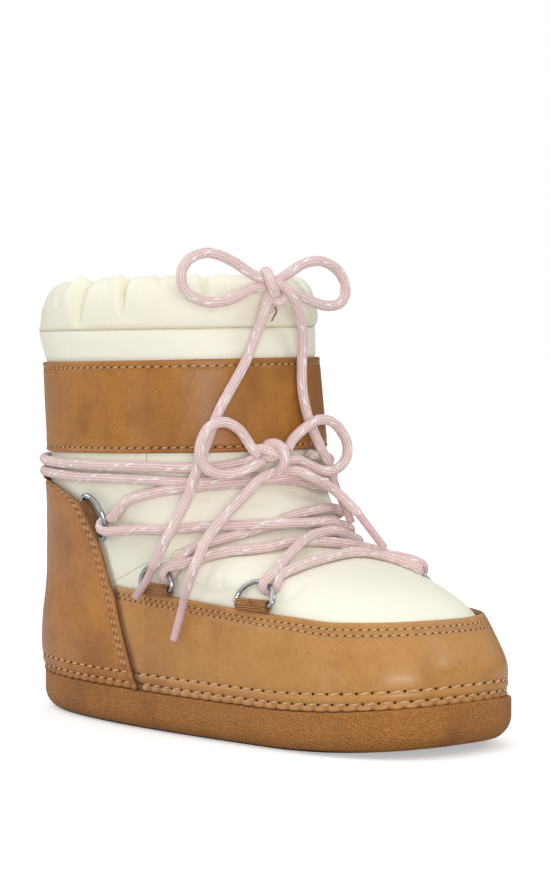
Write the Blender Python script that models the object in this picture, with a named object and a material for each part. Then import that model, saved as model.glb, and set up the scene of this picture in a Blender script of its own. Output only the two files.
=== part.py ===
"""Winter bootie: a padded nylon boot on a moulded sole, with leather overlays,
webbing tabs that hold half rings, a wound lace and a drawstring collar.

The frame is in metres: +X to the toe, +Y to the left, +Z up, with the origin on the
floor under the middle of the boot. The sizes in this file are in millimetres, and a
place on the boot is given by an angle round it (0 at the toe, 90 at the left side) and
a level, which is the height above the floor where the sole is flat.
"""

import math

import bmesh
import bpy
import numpy as np
from mathutils import Matrix, Vector

MM = 0.001
BOOT = "winter_bootie"
SHARP_ANGLE = 40.0
WELD = 1e-6

# Clearances between pieces
SEAT = 0.6
FACE_GAP = 0.3
EDGE_GAP = 0.6

# Sole
SOLE_TOP = 19.5
SOLE_HEEL = -142.0
SOLE_TOE = 142.2
SOLE_WIDEST = 46.0
SOLE_HALF = 58.0
SOLE_HEEL_ROUND = 2.6
SOLE_TOE_ROUND = 2.7
SPRING = 5.6
SPRING_START = 58.0
SPRING_FADE = (25.0, 75.0)
TREAD_DEPTH = 3.2
TREAD_GROOVE = 5.0
TREAD_PITCH = 13.0
TREAD_RIM = 13.0
TREAD_BAR = 10.0
TREAD_HEEL = (-118.0, 5)
TREAD_FOREFOOT = (2.0, 9)

# Upper
WALL = 5.0
SEAM = 193.0
INSOLE_THICKNESS = 4.0
INSOLE_CLEARANCE = 0.8

# Leather overlays
LEATHER = 1.8
BAND_LEVELS = (134.5, 156.0, 177.3)
RAND_FLARE = 1.6
RAND_FLARE_HEIGHT = (0.7, 1.0)
RAND_FLARE_TOE = (0.2, 0.9)

# Rings and tabs
RING_HALF = 11.4
RING_RISE = 11.2
RING_WIRE = 1.3
RING_SHOULDER = 0.14
RING_ARC_POINTS = 8
RING_BAR = 0.9
RING_SPAN = 8.0
HEEL_RING_SPAN = 4.0
TAB_HALF = 9.5
TAB_LOOP = 2.5
TAB_HOLE = 1.6
TAB_DROP = 3.2
TAB_FOOT = 1.7
TAB_SIDES = 12
TAB_FOLD = 0.4

# Cords
CORD_RADIUS = 2.5
LACE_LIFT = 4.0
STRAND_STEP = 16.0
TURN_LIFT = 1.4
CORD_STEP = 13.0
ROUTE_SAMPLES = 12
STRAND_RESOLUTION = 1
CORD_RESOLUTION = 2

COLUMNS = 44

# One row for each section of the boot, from the sole up to the collar seam
LAST_COLUMNS = ("level", "heel", "toe", "widest", "half", "heel_round", "toe_round", "rise")
LAST = (
    (19.8, -139.0, 137.0, 46.0, 55.0, 2.60, 2.65, 0.0),
    (32.0, -140.3, 138.5, 46.0, 56.5, 2.70, 2.60, 0.0),
    (46.0, -138.7, 133.5, 44.0, 56.0, 2.80, 2.50, 0.0),
    (60.0, -136.5, 122.5, 36.0, 54.0, 2.85, 2.40, 0.0),
    (72.0, -135.0, 99.0, 22.0, 53.0, 2.85, 2.30, 0.0),
    (84.0, -133.2, 53.5, -4.0, 53.0, 2.80, 2.10, 0.0),
    (88.5, -132.3, 39.5, -12.5, 53.4, 2.76, 2.10, 0.0),
    (96.0, -130.5, 33.6, -26.0, 54.5, 2.70, 2.10, 0.0),
    (108.0, -127.5, 25.6, -44.0, 57.0, 2.50, 2.10, 0.010),
    (120.0, -125.0, 19.5, -53.0, 60.0, 2.35, 2.10, 0.020),
    (134.0, -123.8, 18.5, -55.0, 61.5, 2.20, 2.10, 0.025),
    (155.0, -126.3, 15.5, -57.0, 61.5, 2.10, 2.10, 0.025),
    (176.0, -127.6, 12.5, -60.0, 61.5, 2.10, 2.10, 0.025),
    (193.0, -132.8, 10.2, -62.0, 63.8, 2.10, 2.10, 0.025),
)
UPPER_LEVELS = (19.8, 32, 39, 46, 53, 60, 66, 72, 78, 84, 89, 96, 104, 112, 122, 134, 155, 176, 193)

# Sole sections: height and how far the wall stands in from the outline
SOLE_RINGS = ((SOLE_TOP, 0.4), (SOLE_TOP - 1.0, 0.0), (10.0, 0.0), (6.0, 0.8), (2.6, 3.2), (0.0, 8.5))

# Top edge of the toe rand: place along the boot and level
RAND_TOP = ((-60.0, 68.3), (-7.0, 66.4), (39.5, 64.3), (89.0, 60.9), (122.0, 59.7))
RAND_ROWS = (0.0, 0.16, 0.33, 0.5, 0.67, 0.85, 1.0)
RAND_SPAN = 12
RAND_EXTRA = 2
RAND_END_LEVEL = 68.0
RAND_PASSES = 4

# Front edge of the heel counter: level and place along the boot
COUNTER_EDGE = (
    (SOLE_TOP + FACE_GAP, -29.5),
    (28.5, -32.7),
    (38.0, -36.5),
    (60.0, -47.0),
    (74.0, -52.5),
    (91.0, -58.3),
    (101.0, -62.5),
    (109.0, -67.0),
    (115.0, -77.6),
    (118.6, -90.0),
    (120.0, -104.0),
)
COUNTER_SPAN = 5
COUNTER_EXTRA = 4

# Collar cuff section: outward and upward from the seam, and its share of the gathers
CUFF_SECTION = (
    (0.0, FACE_GAP, 0.0),
    (1.6, 4.0, 0.25),
    (2.0, 11.0, 0.55),
    (0.2, 18.0, 0.9),
    (-4.2, 23.6, 1.0),
    (-9.0, 25.0, 1.0),
    (-12.0, 18.0, 0.6),
    (-9.0, 8.0, 0.2),
    (-WALL, FACE_GAP, 0.0),
)
CUFF_COLUMNS = 51
CUFF_GATHERS = 17
CUFF_DEPTH = 1.5

# Unevenness of the gathers: waves round the collar, amount and phase
CUFF_DRIFT = ((3, 0.9, 0.6), (5, 0.7, 2.1))
CUFF_SWELL = (2, 0.25, 1.0)

# Ring places: place along the boot, level of the bar's foot, and its clearance
RING_PLACES = {"toe": (51.0, 63.6, SEAT), "mid": (-14.5, 66.7, SEAT)}
RING_LEAN = {"toe": 12.0, "mid": -5.0, "heel": -6.0}
HEEL_RING_LEVEL = 100.5
HEEL_RING_CLEARANCE = 1.0
SIDES = {"right": -1.0, "left": 1.0}

# Lace strands: from a ring to a ring, then angle and level of the points between
STRANDS = (
    ("toe", "right", "toe", "left",
     ((-50, 77.6), (-40, 79.6), (-27, 81.7), (-8, 83.8), (5, 84.6), (19.5, 84.4), (34, 82.3), (47, 79.2))),
    ("toe", "right", "mid", "left",
     ((-44, 80), (-31, 83.4), (-12, 90), (0, 94), (14.8, 94.7), (28, 92), (40, 89.5), (52, 87.6),
      (66, 85.6), (77, 83.7), (85, 82.4))),
    ("toe", "left", "mid", "right",
     ((46, 80.5), (33, 85.6), (14.8, 88.7), (0, 90.9), (-15.5, 91.3), (-28, 89.3), (-40, 88.1),
      (-52, 87.3), (-66, 85.5), (-77, 83.7), (-85, 82.4))),
    ("mid", "right", "heel", "left",
     ((-84, 84.5), (-71, 88.3), (-63, 90.5), (-53, 92.5), (-44, 94.5), (-35.5, 96.1), (-22, 99.1),
      (-14, 101.7), (-5.5, 103.5), (4.5, 104.5), (20, 104.9), (34, 103.5), (48, 101.5), (60, 100),
      (73, 98.6), (88, 98.2))),
    ("mid", "left", "heel", "right",
     ((84, 84.5), (71, 88.3), (63, 90.5), (53, 92.5), (44, 94.2), (33, 96), (22, 97.6), (13.8, 98.9),
      (-5.5, 99.3), (-20, 98.8), (-30, 98.9), (-38, 99), (-52, 99.1), (-60, 98.7), (-73, 97.9), (-88, 98))),
    ("heel", "right", None, None,
     ((-89, 107.7), (-80, 110.7), (-71, 113.5), (-63, 115.3), (-56, 116.4), (-48, 117.3), (-39, 118),
      (-30.5, 118.6), (-23, 119.3), (-13, 120.4), (0, 121.6), (12, 122.2), (26, 121.8), (40, 120.8),
      (60, 121.4), (80, 122.2), (95, 122.4), (115, 123.3), (133, 123.4), (150, 123.6), (165, 124.6),
      (180, 126.5), (195, 128.4), (210, 129.4), (228, 129.4), (245, 128.8), (275, 128.1), (298, 127.5),
      (314, 126.8), (324, 127), (335, 128.6), (340, 130.4))),
    ("heel", "left", None, None,
     ((89, 107.7), (80, 109.8), (70, 111.5), (56, 113), (39, 114.2), (28, 114.6), (16, 115.1),
      (6.5, 117.7), (-2, 119.7), (-13, 120.8), (-21, 121.5), (-30, 121), (-40, 120), (-49.5, 120.3),
      (-63, 121.3), (-80.5, 122.1), (-95, 122.3), (-115, 123.3), (-133, 123.4), (-150, 123.6),
      (-165, 124.6), (-180, 126.5), (-195, 128.4), (-210, 129.4), (-228, 129.4), (-245, 128.8),
      (-275, 128.1), (-298, 127.5), (-314, 126.8), (-334, 129), (-352, 131))),
)

# Bow knots: middle and half sizes
KNOT_SIZE = (5.5, 7.2, 6.2)
LACE_KNOT = (24.3, -14.3, 133.4)
DRAWSTRING_KNOT = (19.4, -11.9, 215.9)

# The drawstring's way from its slit in the cuff into the knot
DRAWSTRING_LEAD = ((15.4, -9.2, 202.5), (15.6, -9.6, 206.0), (16.8, -10.7, 209.8), (18.6, -11.6, 214.2))

# Free cords, as points that each cord passes through
FREE_CORDS = {
    "lace_loop_right": (
        (23.1, -21.6, 136.5), (20.7, -26.4, 137.1), (20.1, -29.0, 141.5), (19.3, -33.3, 146.6),
        (17.4, -40.6, 150.2), (15.1, -48.2, 148.3), (14.0, -52.7, 141.6), (13.6, -53.5, 135.0),
        (14.6, -50.3, 128.5), (16.6, -43.1, 125.6), (19.4, -35.3, 125.9), (22.6, -29.2, 128.3),
        (23.1, -21.6, 130.9)),
    "lace_loop_left": (
        (25.4, -7.0, 136.3), (25.0, -3.0, 141.0), (26.2, 3.9, 146.3), (27.8, 12.6, 150.2),
        (28.2, 20.4, 148.8), (28.2, 26.2, 144.7), (29.4, 29.5, 138.3), (30.2, 28.4, 131.6),
        (29.9, 22.8, 126.4), (29.4, 14.4, 125.3), (27.7, 5.9, 128.2), (26.4, -0.9, 131.1),
        (25.4, -7.0, 130.9)),
    "lace_end_right": (
        (25.6, -16.7, 126.1), (24.7, -25.6, 122.4), (23.0, -35.8, 113.3), (21.9, -47.4, 104.3),
        (22.0, -57.0, 95.3), (22.3, -62.9, 86.3), (18.1, -64.2, 76.7), (10.7, -61.1, 66.5),
        (7.5, -60.4, 59.1), (3.9, -61.2, 47.4)),
    "lace_end_left": (
        (26.4, -10.5, 126.3), (31.5, -4.6, 125.9), (34.2, 2.9, 122.1), (30.9, 16.4, 117.5),
        (33.0, 21.1, 113.5), (37.0, 23.9, 108.7), (39.8, 25.9, 105.4), (46.3, 28.4, 97.3),
        (57.5, 25.8, 89.9)),
    "drawstring_loop_right": (
        (19.0, -19.0, 218.6), (17.6, -24.4, 220.9), (15.9, -32.7, 225.8), (13.9, -40.5, 229.2),
        (11.7, -48.2, 230.4), (9.0, -56.3, 227.0), (8.2, -60.3, 219.9), (9.1, -58.3, 212.2),
        (11.6, -51.3, 208.0), (13.9, -43.7, 206.9), (16.2, -32.9, 209.3), (17.6, -24.4, 213.2),
        (19.0, -19.0, 213.2)),
    "drawstring_loop_left": (
        (20.0, -4.8, 218.6), (20.4, -0.5, 221.2), (21.1, 7.6, 225.3), (21.8, 16.4, 226.8),
        (22.2, 24.9, 225.1), (22.4, 32.3, 220.1), (22.8, 35.1, 212.7), (22.9, 32.1, 206.9),
        (22.0, 25.1, 205.0), (21.5, 15.3, 206.6), (21.1, 5.6, 210.0), (20.0, -4.8, 213.2)),
    "drawstring_end_right": (
        (19.8, -14.8, 209.2), (19.4, -16.4, 203.3), (16.3, -18.3, 192.7), (14.0, -23.7, 179.0),
        (11.5, -31.1, 165.9), (10.0, -37.3, 155.7), (9.7, -46.4, 138.3), (6.3, -51.0, 122.7),
        (4.4, -53.6, 113.2), (-0.9, -62.1, 94.3), (-14.9, -61.8, 74.3), (-25.4, -59.1, 65.7)),
    "drawstring_end_left": (
        (21.4, -8.4, 209.0), (22.9, -2.6, 206.1), (22.3, 3.7, 200.3), (20.2, 8.2, 192.5),
        (18.1, 10.2, 183.7), (17.9, 9.9, 173.5), (19.6, 8.9, 162.9), (21.7, 11.1, 149.9),
        (24.7, 15.7, 137.2), (24.5, 22.7, 126.2), (26.2, 25.8, 115.9), (36.0, 25.6, 100.8)),
}


def monotone(table_x, table_y, x):
    """Smooth curve through the rows of a table that never overshoots them."""
    xs = np.asarray(table_x, float)
    ys = np.asarray(table_y, float)
    x = np.asarray(x, float)
    width = np.diff(xs)
    slope = np.diff(ys) / width
    tangent = np.zeros_like(ys)
    tangent[0] = slope[0]
    tangent[-1] = slope[-1]
    for i in range(1, len(xs) - 1):
        if slope[i - 1] * slope[i] > 0:
            before = 2 * width[i] + width[i - 1]
            after = width[i] + 2 * width[i - 1]
            tangent[i] = (before + after) / (before / slope[i - 1] + after / slope[i])
    k = np.clip(np.searchsorted(xs, x, "right") - 1, 0, len(width) - 1)
    t = np.clip((x - xs[k]) / width[k], 0.0, 1.0)
    start = (2 * t**3 - 3 * t**2 + 1) * ys[k] + (t**3 - 2 * t**2 + t) * width[k] * tangent[k]
    end = (3 * t**2 - 2 * t**3) * ys[k + 1] + (t**3 - t**2) * width[k] * tangent[k + 1]
    return start + end


def smoothstep(low, high, x):
    """0 below low, 1 above high, with a soft ramp between."""
    t = np.clip((np.asarray(x, float) - low) / (high - low), 0.0, 1.0)
    return t * t * (3 - 2 * t)


def spring(x):
    """Rise of the sole under the toe."""
    t = np.clip((np.asarray(x, float) - SPRING_START) / (SOLE_TOE - SPRING_START), 0.0, None)
    return SPRING * t**2


def egg(theta, heel, toe, widest, half, heel_round, toe_round):
    """Foot-shaped outline: a rounded curve from the toe and another from the heel."""
    c = np.cos(theta)
    s = np.sin(theta)
    power = 2.0 / np.where(c >= 0, toe_round, heel_round)
    reach = np.where(c >= 0, toe - widest, widest - heel)
    x = widest + reach * np.sign(c) * np.abs(c) ** power
    y = half * np.sign(s) * np.abs(s) ** power
    return x, y


def last_row(level):
    """Named sizes of the boot's section at a level."""
    levels = [row[0] for row in LAST]
    sizes = {}
    for i, name in enumerate(LAST_COLUMNS):
        sizes[name] = monotone(levels, [row[i] for row in LAST], level)
    return sizes


def last_point(theta, level):
    """Point on the outside of the boot."""
    theta, level = np.broadcast_arrays(np.asarray(theta, float), np.asarray(level, float))
    row = last_row(level)
    x, y = egg(theta, row["heel"], row["toe"], row["widest"], row["half"],
               row["heel_round"], row["toe_round"])
    z = level + row["rise"] * (x - row["widest"]) + spring(x) * (1 - smoothstep(*SPRING_FADE, level))
    return np.stack([x, y, z], -1)


def skin_frame(theta, level):
    """Point on the boot, with the directions round it, up it and out of it."""
    step = 1e-3
    level = np.clip(level, LAST[0][0] + step, LAST[-1][0] - step)
    point = last_point(theta, level)
    around = last_point(np.asarray(theta) + step, level) - last_point(np.asarray(theta) - step, level)
    upward = last_point(theta, level + step) - last_point(theta, level - step)
    normal = np.cross(around, upward)
    unit = [v / np.linalg.norm(v, axis=-1, keepdims=True) for v in (around, upward, normal)]
    return point, unit[0], unit[1], unit[2]


def skin(theta, level, offset):
    """Point at a distance outside the boot, or inside it where the distance is negative."""
    point, _, _, normal = skin_frame(theta, level)
    return point + normal * np.asarray(offset, float)[..., None]


def theta_at(level, x):
    """Angle round the boot, on the left side, of a place along it at a level."""
    row = last_row(level)
    front = x >= row["widest"]
    reach = np.where(front, row["toe"] - row["widest"], row["widest"] - row["heel"])
    roundness = np.where(front, row["toe_round"], row["heel_round"])
    share = np.clip(np.abs(x - row["widest"]) / reach, 0.0, 1.0) ** (roundness / 2)
    return np.arccos(np.where(front, share, -share))


def table(rows, x):
    """Value of a two-column table."""
    return monotone([row[0] for row in rows], [row[1] for row in rows], x)


def smooth_route(points, step):
    """Evenly spaced points on a smooth curve through the points of a route."""
    points = [Vector(p) for p in points]
    padded = [2 * points[0] - points[1], *points, 2 * points[-1] - points[-2]]
    fine = []
    for a, b, c, d in zip(padded, padded[1:], padded[2:], padded[3:]):
        for i in range(ROUTE_SAMPLES):
            t = i / ROUTE_SAMPLES
            bend = 2 * a - 5 * b + 4 * c - d
            turn = 3 * (b - c) + d - a
            fine.append(b + 0.5 * ((c - a) * t + bend * t**2 + turn * t**3))
    fine.append(points[-1])
    run = [0.0]
    for p, q in zip(fine, fine[1:]):
        run.append(run[-1] + (q - p).length)
    count = max(3, round(run[-1] / step))
    wanted = np.linspace(0.0, run[-1], count + 1)
    axes = [np.interp(wanted, run, [p[i] for p in fine]) for i in range(3)]
    return np.stack(axes, -1)


def material(name, colour, roughness, metallic=0.0):
    """Plain material of one sub-part."""
    made = bpy.data.materials.new(name)
    made.use_nodes = True
    shader = made.node_tree.nodes["Principled BSDF"]
    shader.inputs["Base Color"].default_value = (*colour, 1.0)
    shader.inputs["Roughness"].default_value = roughness
    shader.inputs["Metallic"].default_value = metallic
    return made


def add_object(name, mesh, finish, smooth=True):
    """Link a mesh or curve as a named object with its material, under the boot's empty."""
    obj = bpy.data.objects.new(name, mesh)
    obj.parent = bpy.data.objects[BOOT]
    mesh.materials.append(finish)
    bpy.context.scene.collection.objects.link(obj)
    if smooth and isinstance(mesh, bpy.types.Mesh):
        mesh.shade_smooth()
        mesh.set_sharp_from_angle(angle=math.radians(SHARP_ANGLE))
    return obj


def mesh_from(name, bm):
    """Close a bmesh into a mesh with its faces outward."""
    bmesh.ops.recalc_face_normals(bm, faces=bm.faces)
    mesh = bpy.data.meshes.new(name)
    bm.to_mesh(mesh)
    bm.free()
    return mesh


def add_grid(bm, points):
    """Vertices for a grid of points in millimetres."""
    return [[bm.verts.new(Vector(p) * MM) for p in row] for row in points]


def cover(bm, rows, wrap_columns, wrap_rows=False):
    """Quads between neighbouring rows of vertices."""
    pairs = list(zip(rows, rows[1:]))
    if wrap_rows:
        pairs.append((rows[-1], rows[0]))
    for low, high in pairs:
        count = len(low)
        for j in range(count if wrap_columns else count - 1):
            k = (j + 1) % count
            bm.faces.new((low[j], low[k], high[k], high[j]))


def shell(name, outer, inner, wrap):
    """Mesh of a wall between two grids of points."""
    bm = bmesh.new()
    outside = add_grid(bm, outer)
    inside = add_grid(bm, inner)
    cover(bm, outside, wrap)
    cover(bm, inside, wrap)
    cover(bm, [outside[0], inside[0]], wrap)
    cover(bm, [outside[-1], inside[-1]], wrap)
    if not wrap:
        for edge in (0, -1):
            cover(bm, [[row[edge] for row in outside], [row[edge] for row in inside]], False)
    return mesh_from(name, bm)


def ladder_cap(bm, loop):
    """Fill a loop that is the same on the left and right with rungs across it."""
    count = len(loop)
    half = count // 2
    bm.faces.new((loop[0], loop[1], loop[-1]))
    for i in range(1, half - 1):
        bm.faces.new((loop[i], loop[i + 1], loop[count - i - 1], loop[count - i]))
    bm.faces.new((loop[half - 1], loop[half], loop[half + 1]))


def slab(name, loops):
    """Mesh of a solid through a stack of loops, closed at both ends."""
    bm = bmesh.new()
    rows = add_grid(bm, loops)
    cover(bm, rows, True)
    ladder_cap(bm, rows[0])
    ladder_cap(bm, rows[-1])
    return mesh_from(name, bm)


def around(count=COLUMNS):
    """Angles all round the boot."""
    return np.arange(count) * 2 * math.pi / count


def sole_loop(height, inset):
    """One section of the sole, raised under the toe."""
    x, y = egg(around(), SOLE_HEEL + inset, SOLE_TOE - inset, SOLE_WIDEST, SOLE_HALF - inset,
               SOLE_HEEL_ROUND, SOLE_TOE_ROUND)
    return np.stack([x, y, height + spring(x)], -1)


def tread_cutter():
    """Bars that cut the grooves between the lugs of the tread."""
    bm = bmesh.new()
    for start, count in (TREAD_HEEL, TREAD_FOREFOOT):
        for i in range(count):
            x = start + i * TREAD_PITCH
            reach = SOLE_WIDEST - SOLE_HEEL if x < SOLE_WIDEST else SOLE_TOE - SOLE_WIDEST
            roundness = SOLE_HEEL_ROUND if x < SOLE_WIDEST else SOLE_TOE_ROUND
            share = (abs(x - SOLE_WIDEST) + TREAD_GROOVE) / reach
            half = SOLE_HALF * (1 - share**roundness) ** (1 / roundness) - TREAD_RIM
            top = float(spring(x)) + TREAD_DEPTH
            place = Matrix.Translation(Vector((x, 0.0, top - TREAD_BAR / 2)) * MM)
            size = Matrix.Diagonal((TREAD_GROOVE * MM, 2 * half * MM, TREAD_BAR * MM, 1.0))
            bmesh.ops.create_cube(bm, size=1.0, matrix=place @ size)
    return mesh_from("tread_cutter", bm)


def build_outsole():
    """Moulded sole with toe spring, a rounded lower edge and bar lugs."""
    rubber = material("sole_rubber", (0.36, 0.19, 0.08), 0.75)
    sole = add_object("outsole", slab("outsole", [sole_loop(*ring) for ring in SOLE_RINGS]), rubber)
    cutter = add_object("tread_cutter", tread_cutter(), rubber, smooth=False)
    cutter.hide_render = True
    cutter.display_type = "WIRE"
    cut = sole.modifiers.new("tread", "BOOLEAN")
    cut.operation = "DIFFERENCE"
    cut.object = cutter


def build_insole():
    """Footbed that lies on the sole inside the wall of the upper."""
    low = skin(around(), LAST[0][0], np.full(COLUMNS, -WALL - INSOLE_CLEARANCE))
    loops = []
    for height in (SOLE_TOP + FACE_GAP, SOLE_TOP + FACE_GAP + INSOLE_THICKNESS):
        loop = low.copy()
        loop[:, 2] = height + spring(loop[:, 0])
        loops.append(loop)
    add_object("insole", slab("insole", loops), material("insole_felt", (0.75, 0.70, 0.58), 0.9))


def build_upper():
    """Padded boot as one hollow wall, open at the collar and underneath."""
    theta, level = np.meshgrid(around(), UPPER_LEVELS)
    outer = last_point(theta, level)
    inner = skin(theta, level, np.full(theta.shape, -WALL))
    for grid in (outer, inner):
        grid[0, :, 2] = SOLE_TOP + FACE_GAP + spring(grid[0, :, 0])
    inner[-1, :, 2] = outer[-1, :, 2]
    add_object("upper", shell("upper", outer, inner, True), material("cream_nylon", (0.84, 0.80, 0.66), 0.6))


def edge_columns(middle, span, reach, extra):
    """Angles of an overlay: the boot's own columns about its middle, then a few more to each edge."""
    step = 2 * math.pi / COLUMNS
    side = np.linspace(span * step, reach, extra + 1)[1:]
    own = np.arange(-span, span + 1) * step
    return middle + np.concatenate([-side[::-1], own, side])


def rand_grid(offset):
    """Points of the toe rand at a distance from the boot."""
    bottom = SOLE_TOP + FACE_GAP
    side = table(RAND_TOP, table(COUNTER_EDGE, RAND_END_LEVEL))
    rows = []
    for v in RAND_ROWS:
        end_level = bottom + v * (side - bottom)
        end = theta_at(end_level, table(COUNTER_EDGE, end_level) + EDGE_GAP)
        theta = edge_columns(0.0, RAND_SPAN, float(end), RAND_EXTRA)
        level = np.full(len(theta), float(end_level))
        for _ in range(RAND_PASSES):
            top = table(RAND_TOP, last_point(theta, level)[:, 0])
            level = bottom + v * (top - bottom)
        toe_share = smoothstep(*RAND_FLARE_TOE, np.cos(theta))
        flare = RAND_FLARE * smoothstep(*RAND_FLARE_HEIGHT, v) * toe_share
        row = skin(theta, level, offset + flare)
        if v == 0.0:
            row[:, 2] = bottom + spring(row[:, 0])
        rows.append(row)
    return rows


def build_toe_rand():
    """Leather band round the toe and the sides, up to the heel counter."""
    mesh = shell("toe_rand", rand_grid(SEAT + LEATHER), rand_grid(SEAT), False)
    add_object("toe_rand", mesh, material("rand_leather", (0.47, 0.25, 0.10), 0.5))


def counter_grid(offset):
    """Points of the heel counter at a distance from the boot."""
    rows = []
    for level, x in COUNTER_EDGE:
        reach = math.pi - float(theta_at(level, x))
        theta = edge_columns(math.pi, COUNTER_SPAN, reach, COUNTER_EXTRA)
        row = skin(theta, np.full(len(theta), level), np.full(len(theta), offset))
        if level == COUNTER_EDGE[0][0]:
            row[:, 2] = level
        rows.append(row)
    return rows


def build_heel_counter():
    """Leather piece round the heel."""
    mesh = shell("heel_counter", counter_grid(SEAT + LEATHER), counter_grid(SEAT), False)
    add_object("heel_counter", mesh, material("counter_leather", (0.47, 0.25, 0.10), 0.5))


def build_shaft_band():
    """Leather band round the shaft."""
    theta, level = np.meshgrid(around(), BAND_LEVELS)
    outer = skin(theta, level, np.full(theta.shape, SEAT + LEATHER))
    inner = skin(theta, level, np.full(theta.shape, SEAT))
    mesh = shell("shaft_band", outer, inner, True)
    add_object("shaft_band", mesh, material("band_leather", (0.45, 0.24, 0.10), 0.45))


def gathers(theta):
    """Uneven folds of the drawn collar, from -1 to 1."""
    phase = CUFF_GATHERS * theta
    for waves, amount, shift in CUFF_DRIFT:
        phase = phase + amount * np.sin(waves * theta + shift)
    waves, amount, shift = CUFF_SWELL
    return np.cos(phase) * (1 - amount + amount * np.sin(waves * theta + shift))


def build_collar_cuff():
    """Gathered casing on top of the shaft, with the drawstring inside."""
    theta = around(CUFF_COLUMNS)
    seam, _, _, normal = skin_frame(theta, SEAM)
    flat = normal * (1.0, 1.0, 0.0)
    flat /= np.linalg.norm(flat, axis=-1, keepdims=True)
    fold = gathers(theta)
    rows = []
    for out, up, share in CUFF_SECTION:
        row = seam + flat * (out + CUFF_DEPTH * share * fold)[:, None]
        row[:, 2] = seam[:, 2] + up + 0.5 * CUFF_DEPTH * share * fold
        rows.append(row)
    bm = bmesh.new()
    cover(bm, add_grid(bm, rows), True, wrap_rows=True)
    add_object("collar_cuff", mesh_from("collar_cuff", bm), material("cuff_nylon", (0.84, 0.80, 0.66), 0.6))


def ring_frame(place, side):
    """Middle of a ring's bar, and the directions along it, towards its arc and outward."""
    sign = SIDES[side]
    if place == "heel":
        level = HEEL_RING_LEVEL
        clearance = HEEL_RING_CLEARANCE
        ends = (level - HEEL_RING_SPAN, level + HEEL_RING_SPAN)
        edge = [skin_frame(-theta_at(z, table(COUNTER_EDGE, z)), z)[0] for z in ends]
        bar = Vector(edge[0] - edge[1]).normalized()
        x = table(COUNTER_EDGE, level)
    else:
        x, level, clearance = RING_PLACES[place]
        ends = (x - RING_SPAN, x + RING_SPAN)
        edge = [last_point(-theta_at(level, end), level) for end in ends]
        bar = Vector(edge[1] - edge[0]).normalized()
    foot, _, _, normal = skin_frame(-theta_at(level, x), level)
    out = Vector(normal)
    out = (out - bar * out.dot(bar)).normalized()
    up = out.cross(bar).normalized()
    if place == "heel":
        up = up if up.x > 0 else -up
    else:
        up = up if up.z > 0 else -up
    middle = Vector(foot) + up * (TAB_DROP + EDGE_GAP) + out * (clearance + TAB_LOOP)
    mirror = Vector((1.0, -sign, 1.0))
    return [Vector(v * m for v, m in zip(vector, mirror)) for vector in (middle, bar, up, out)]


def lean(place, side):
    """Direction from a ring's bar to its arc, leaning in with the boot."""
    _, _, up, out = ring_frame(place, side)
    tilt = math.radians(RING_LEAN[place])
    return (up * math.cos(tilt) - out * math.sin(tilt)).normalized()


def build_ring(place, side):
    """Steel half ring: a straight bar and a round arc."""
    middle, bar, _, _ = ring_frame(place, side)
    rise = lean(place, side)
    path = [(-RING_BAR, 0.0), (RING_BAR, 0.0)]
    for i in range(RING_ARC_POINTS):
        angle = math.pi * i / (RING_ARC_POINTS - 1)
        path.append((math.cos(angle), RING_SHOULDER + (1.0 - RING_SHOULDER) * math.sin(angle)))
    curve = bpy.data.curves.new(f"ring_{place}_{side}", "CURVE")
    curve.dimensions = "3D"
    curve.bevel_depth = RING_WIRE * MM
    curve.bevel_resolution = 1
    line = curve.splines.new("POLY")
    line.points.add(len(path) - 1)
    line.use_cyclic_u = True
    for point, (along, away) in zip(line.points, path):
        place_at = middle + bar * along * RING_HALF + rise * away * RING_RISE
        point.co = (*(place_at * MM), 1.0)
    steel = material(f"ring_steel_{place}_{side}", (0.72, 0.73, 0.74), 0.2, 1.0)
    add_object(f"ring_{place}_{side}", curve, steel)


def build_tab(place, side):
    """Webbing folded round a ring's bar, with its two ends together at the foot."""
    middle, bar, up, out = ring_frame(place, side)
    outer = []
    inner = []
    for i in range(TAB_SIDES):
        angle = 2 * math.pi * i / TAB_SIDES
        c = math.cos(angle)
        s = math.sin(angle)
        inner.append((TAB_HOLE * s, TAB_HOLE * c))
        if s > -TAB_FOLD:
            outer.append((TAB_LOOP * s, TAB_LOOP * c))
        else:
            outer.append((-TAB_DROP, TAB_FOOT * c))
    rows = []
    for section, along in ((outer, -1), (outer, 1), (inner, 1), (inner, -1)):
        rows.append([middle + bar * along * TAB_HALF + up * v + out * n for v, n in section])
    bm = bmesh.new()
    cover(bm, add_grid(bm, rows), True, wrap_rows=True)
    webbing = material(f"tab_webbing_{place}_{side}", (0.36, 0.17, 0.06), 0.8)
    add_object(f"tab_{place}_{side}", mesh_from(f"tab_{place}_{side}", bm), webbing)


def cord_curve(name, points, resolution):
    """Round cord along evenly spaced points."""
    curve = bpy.data.curves.new(name, "CURVE")
    curve.dimensions = "3D"
    curve.bevel_depth = CORD_RADIUS * MM
    curve.bevel_resolution = resolution
    curve.use_fill_caps = True
    line = curve.splines.new("POLY")
    line.points.add(len(points) - 1)
    for point, place in zip(line.points, points):
        point.co = (*(Vector(place) * MM), 1.0)
    return curve


def lace_turn(place, side):
    """Where the lace turns, just past a ring's arc."""
    middle, _, _, out = ring_frame(place, side)
    reach = RING_RISE + RING_WIRE + CORD_RADIUS + EDGE_GAP
    return middle + lean(place, side) * reach + out * TURN_LIFT


def strand_points(start, start_side, end, end_side, between):
    """Points of one strand of the lace, from ring to ring over the boot."""
    degrees, levels = np.array(between, float).T
    route = [Vector(p) for p in skin(np.radians(degrees), levels, np.full(len(levels), LACE_LIFT))]
    route.insert(0, lace_turn(start, start_side))
    if end:
        route.append(lace_turn(end, end_side))
    return smooth_route(route, STRAND_STEP)


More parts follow.
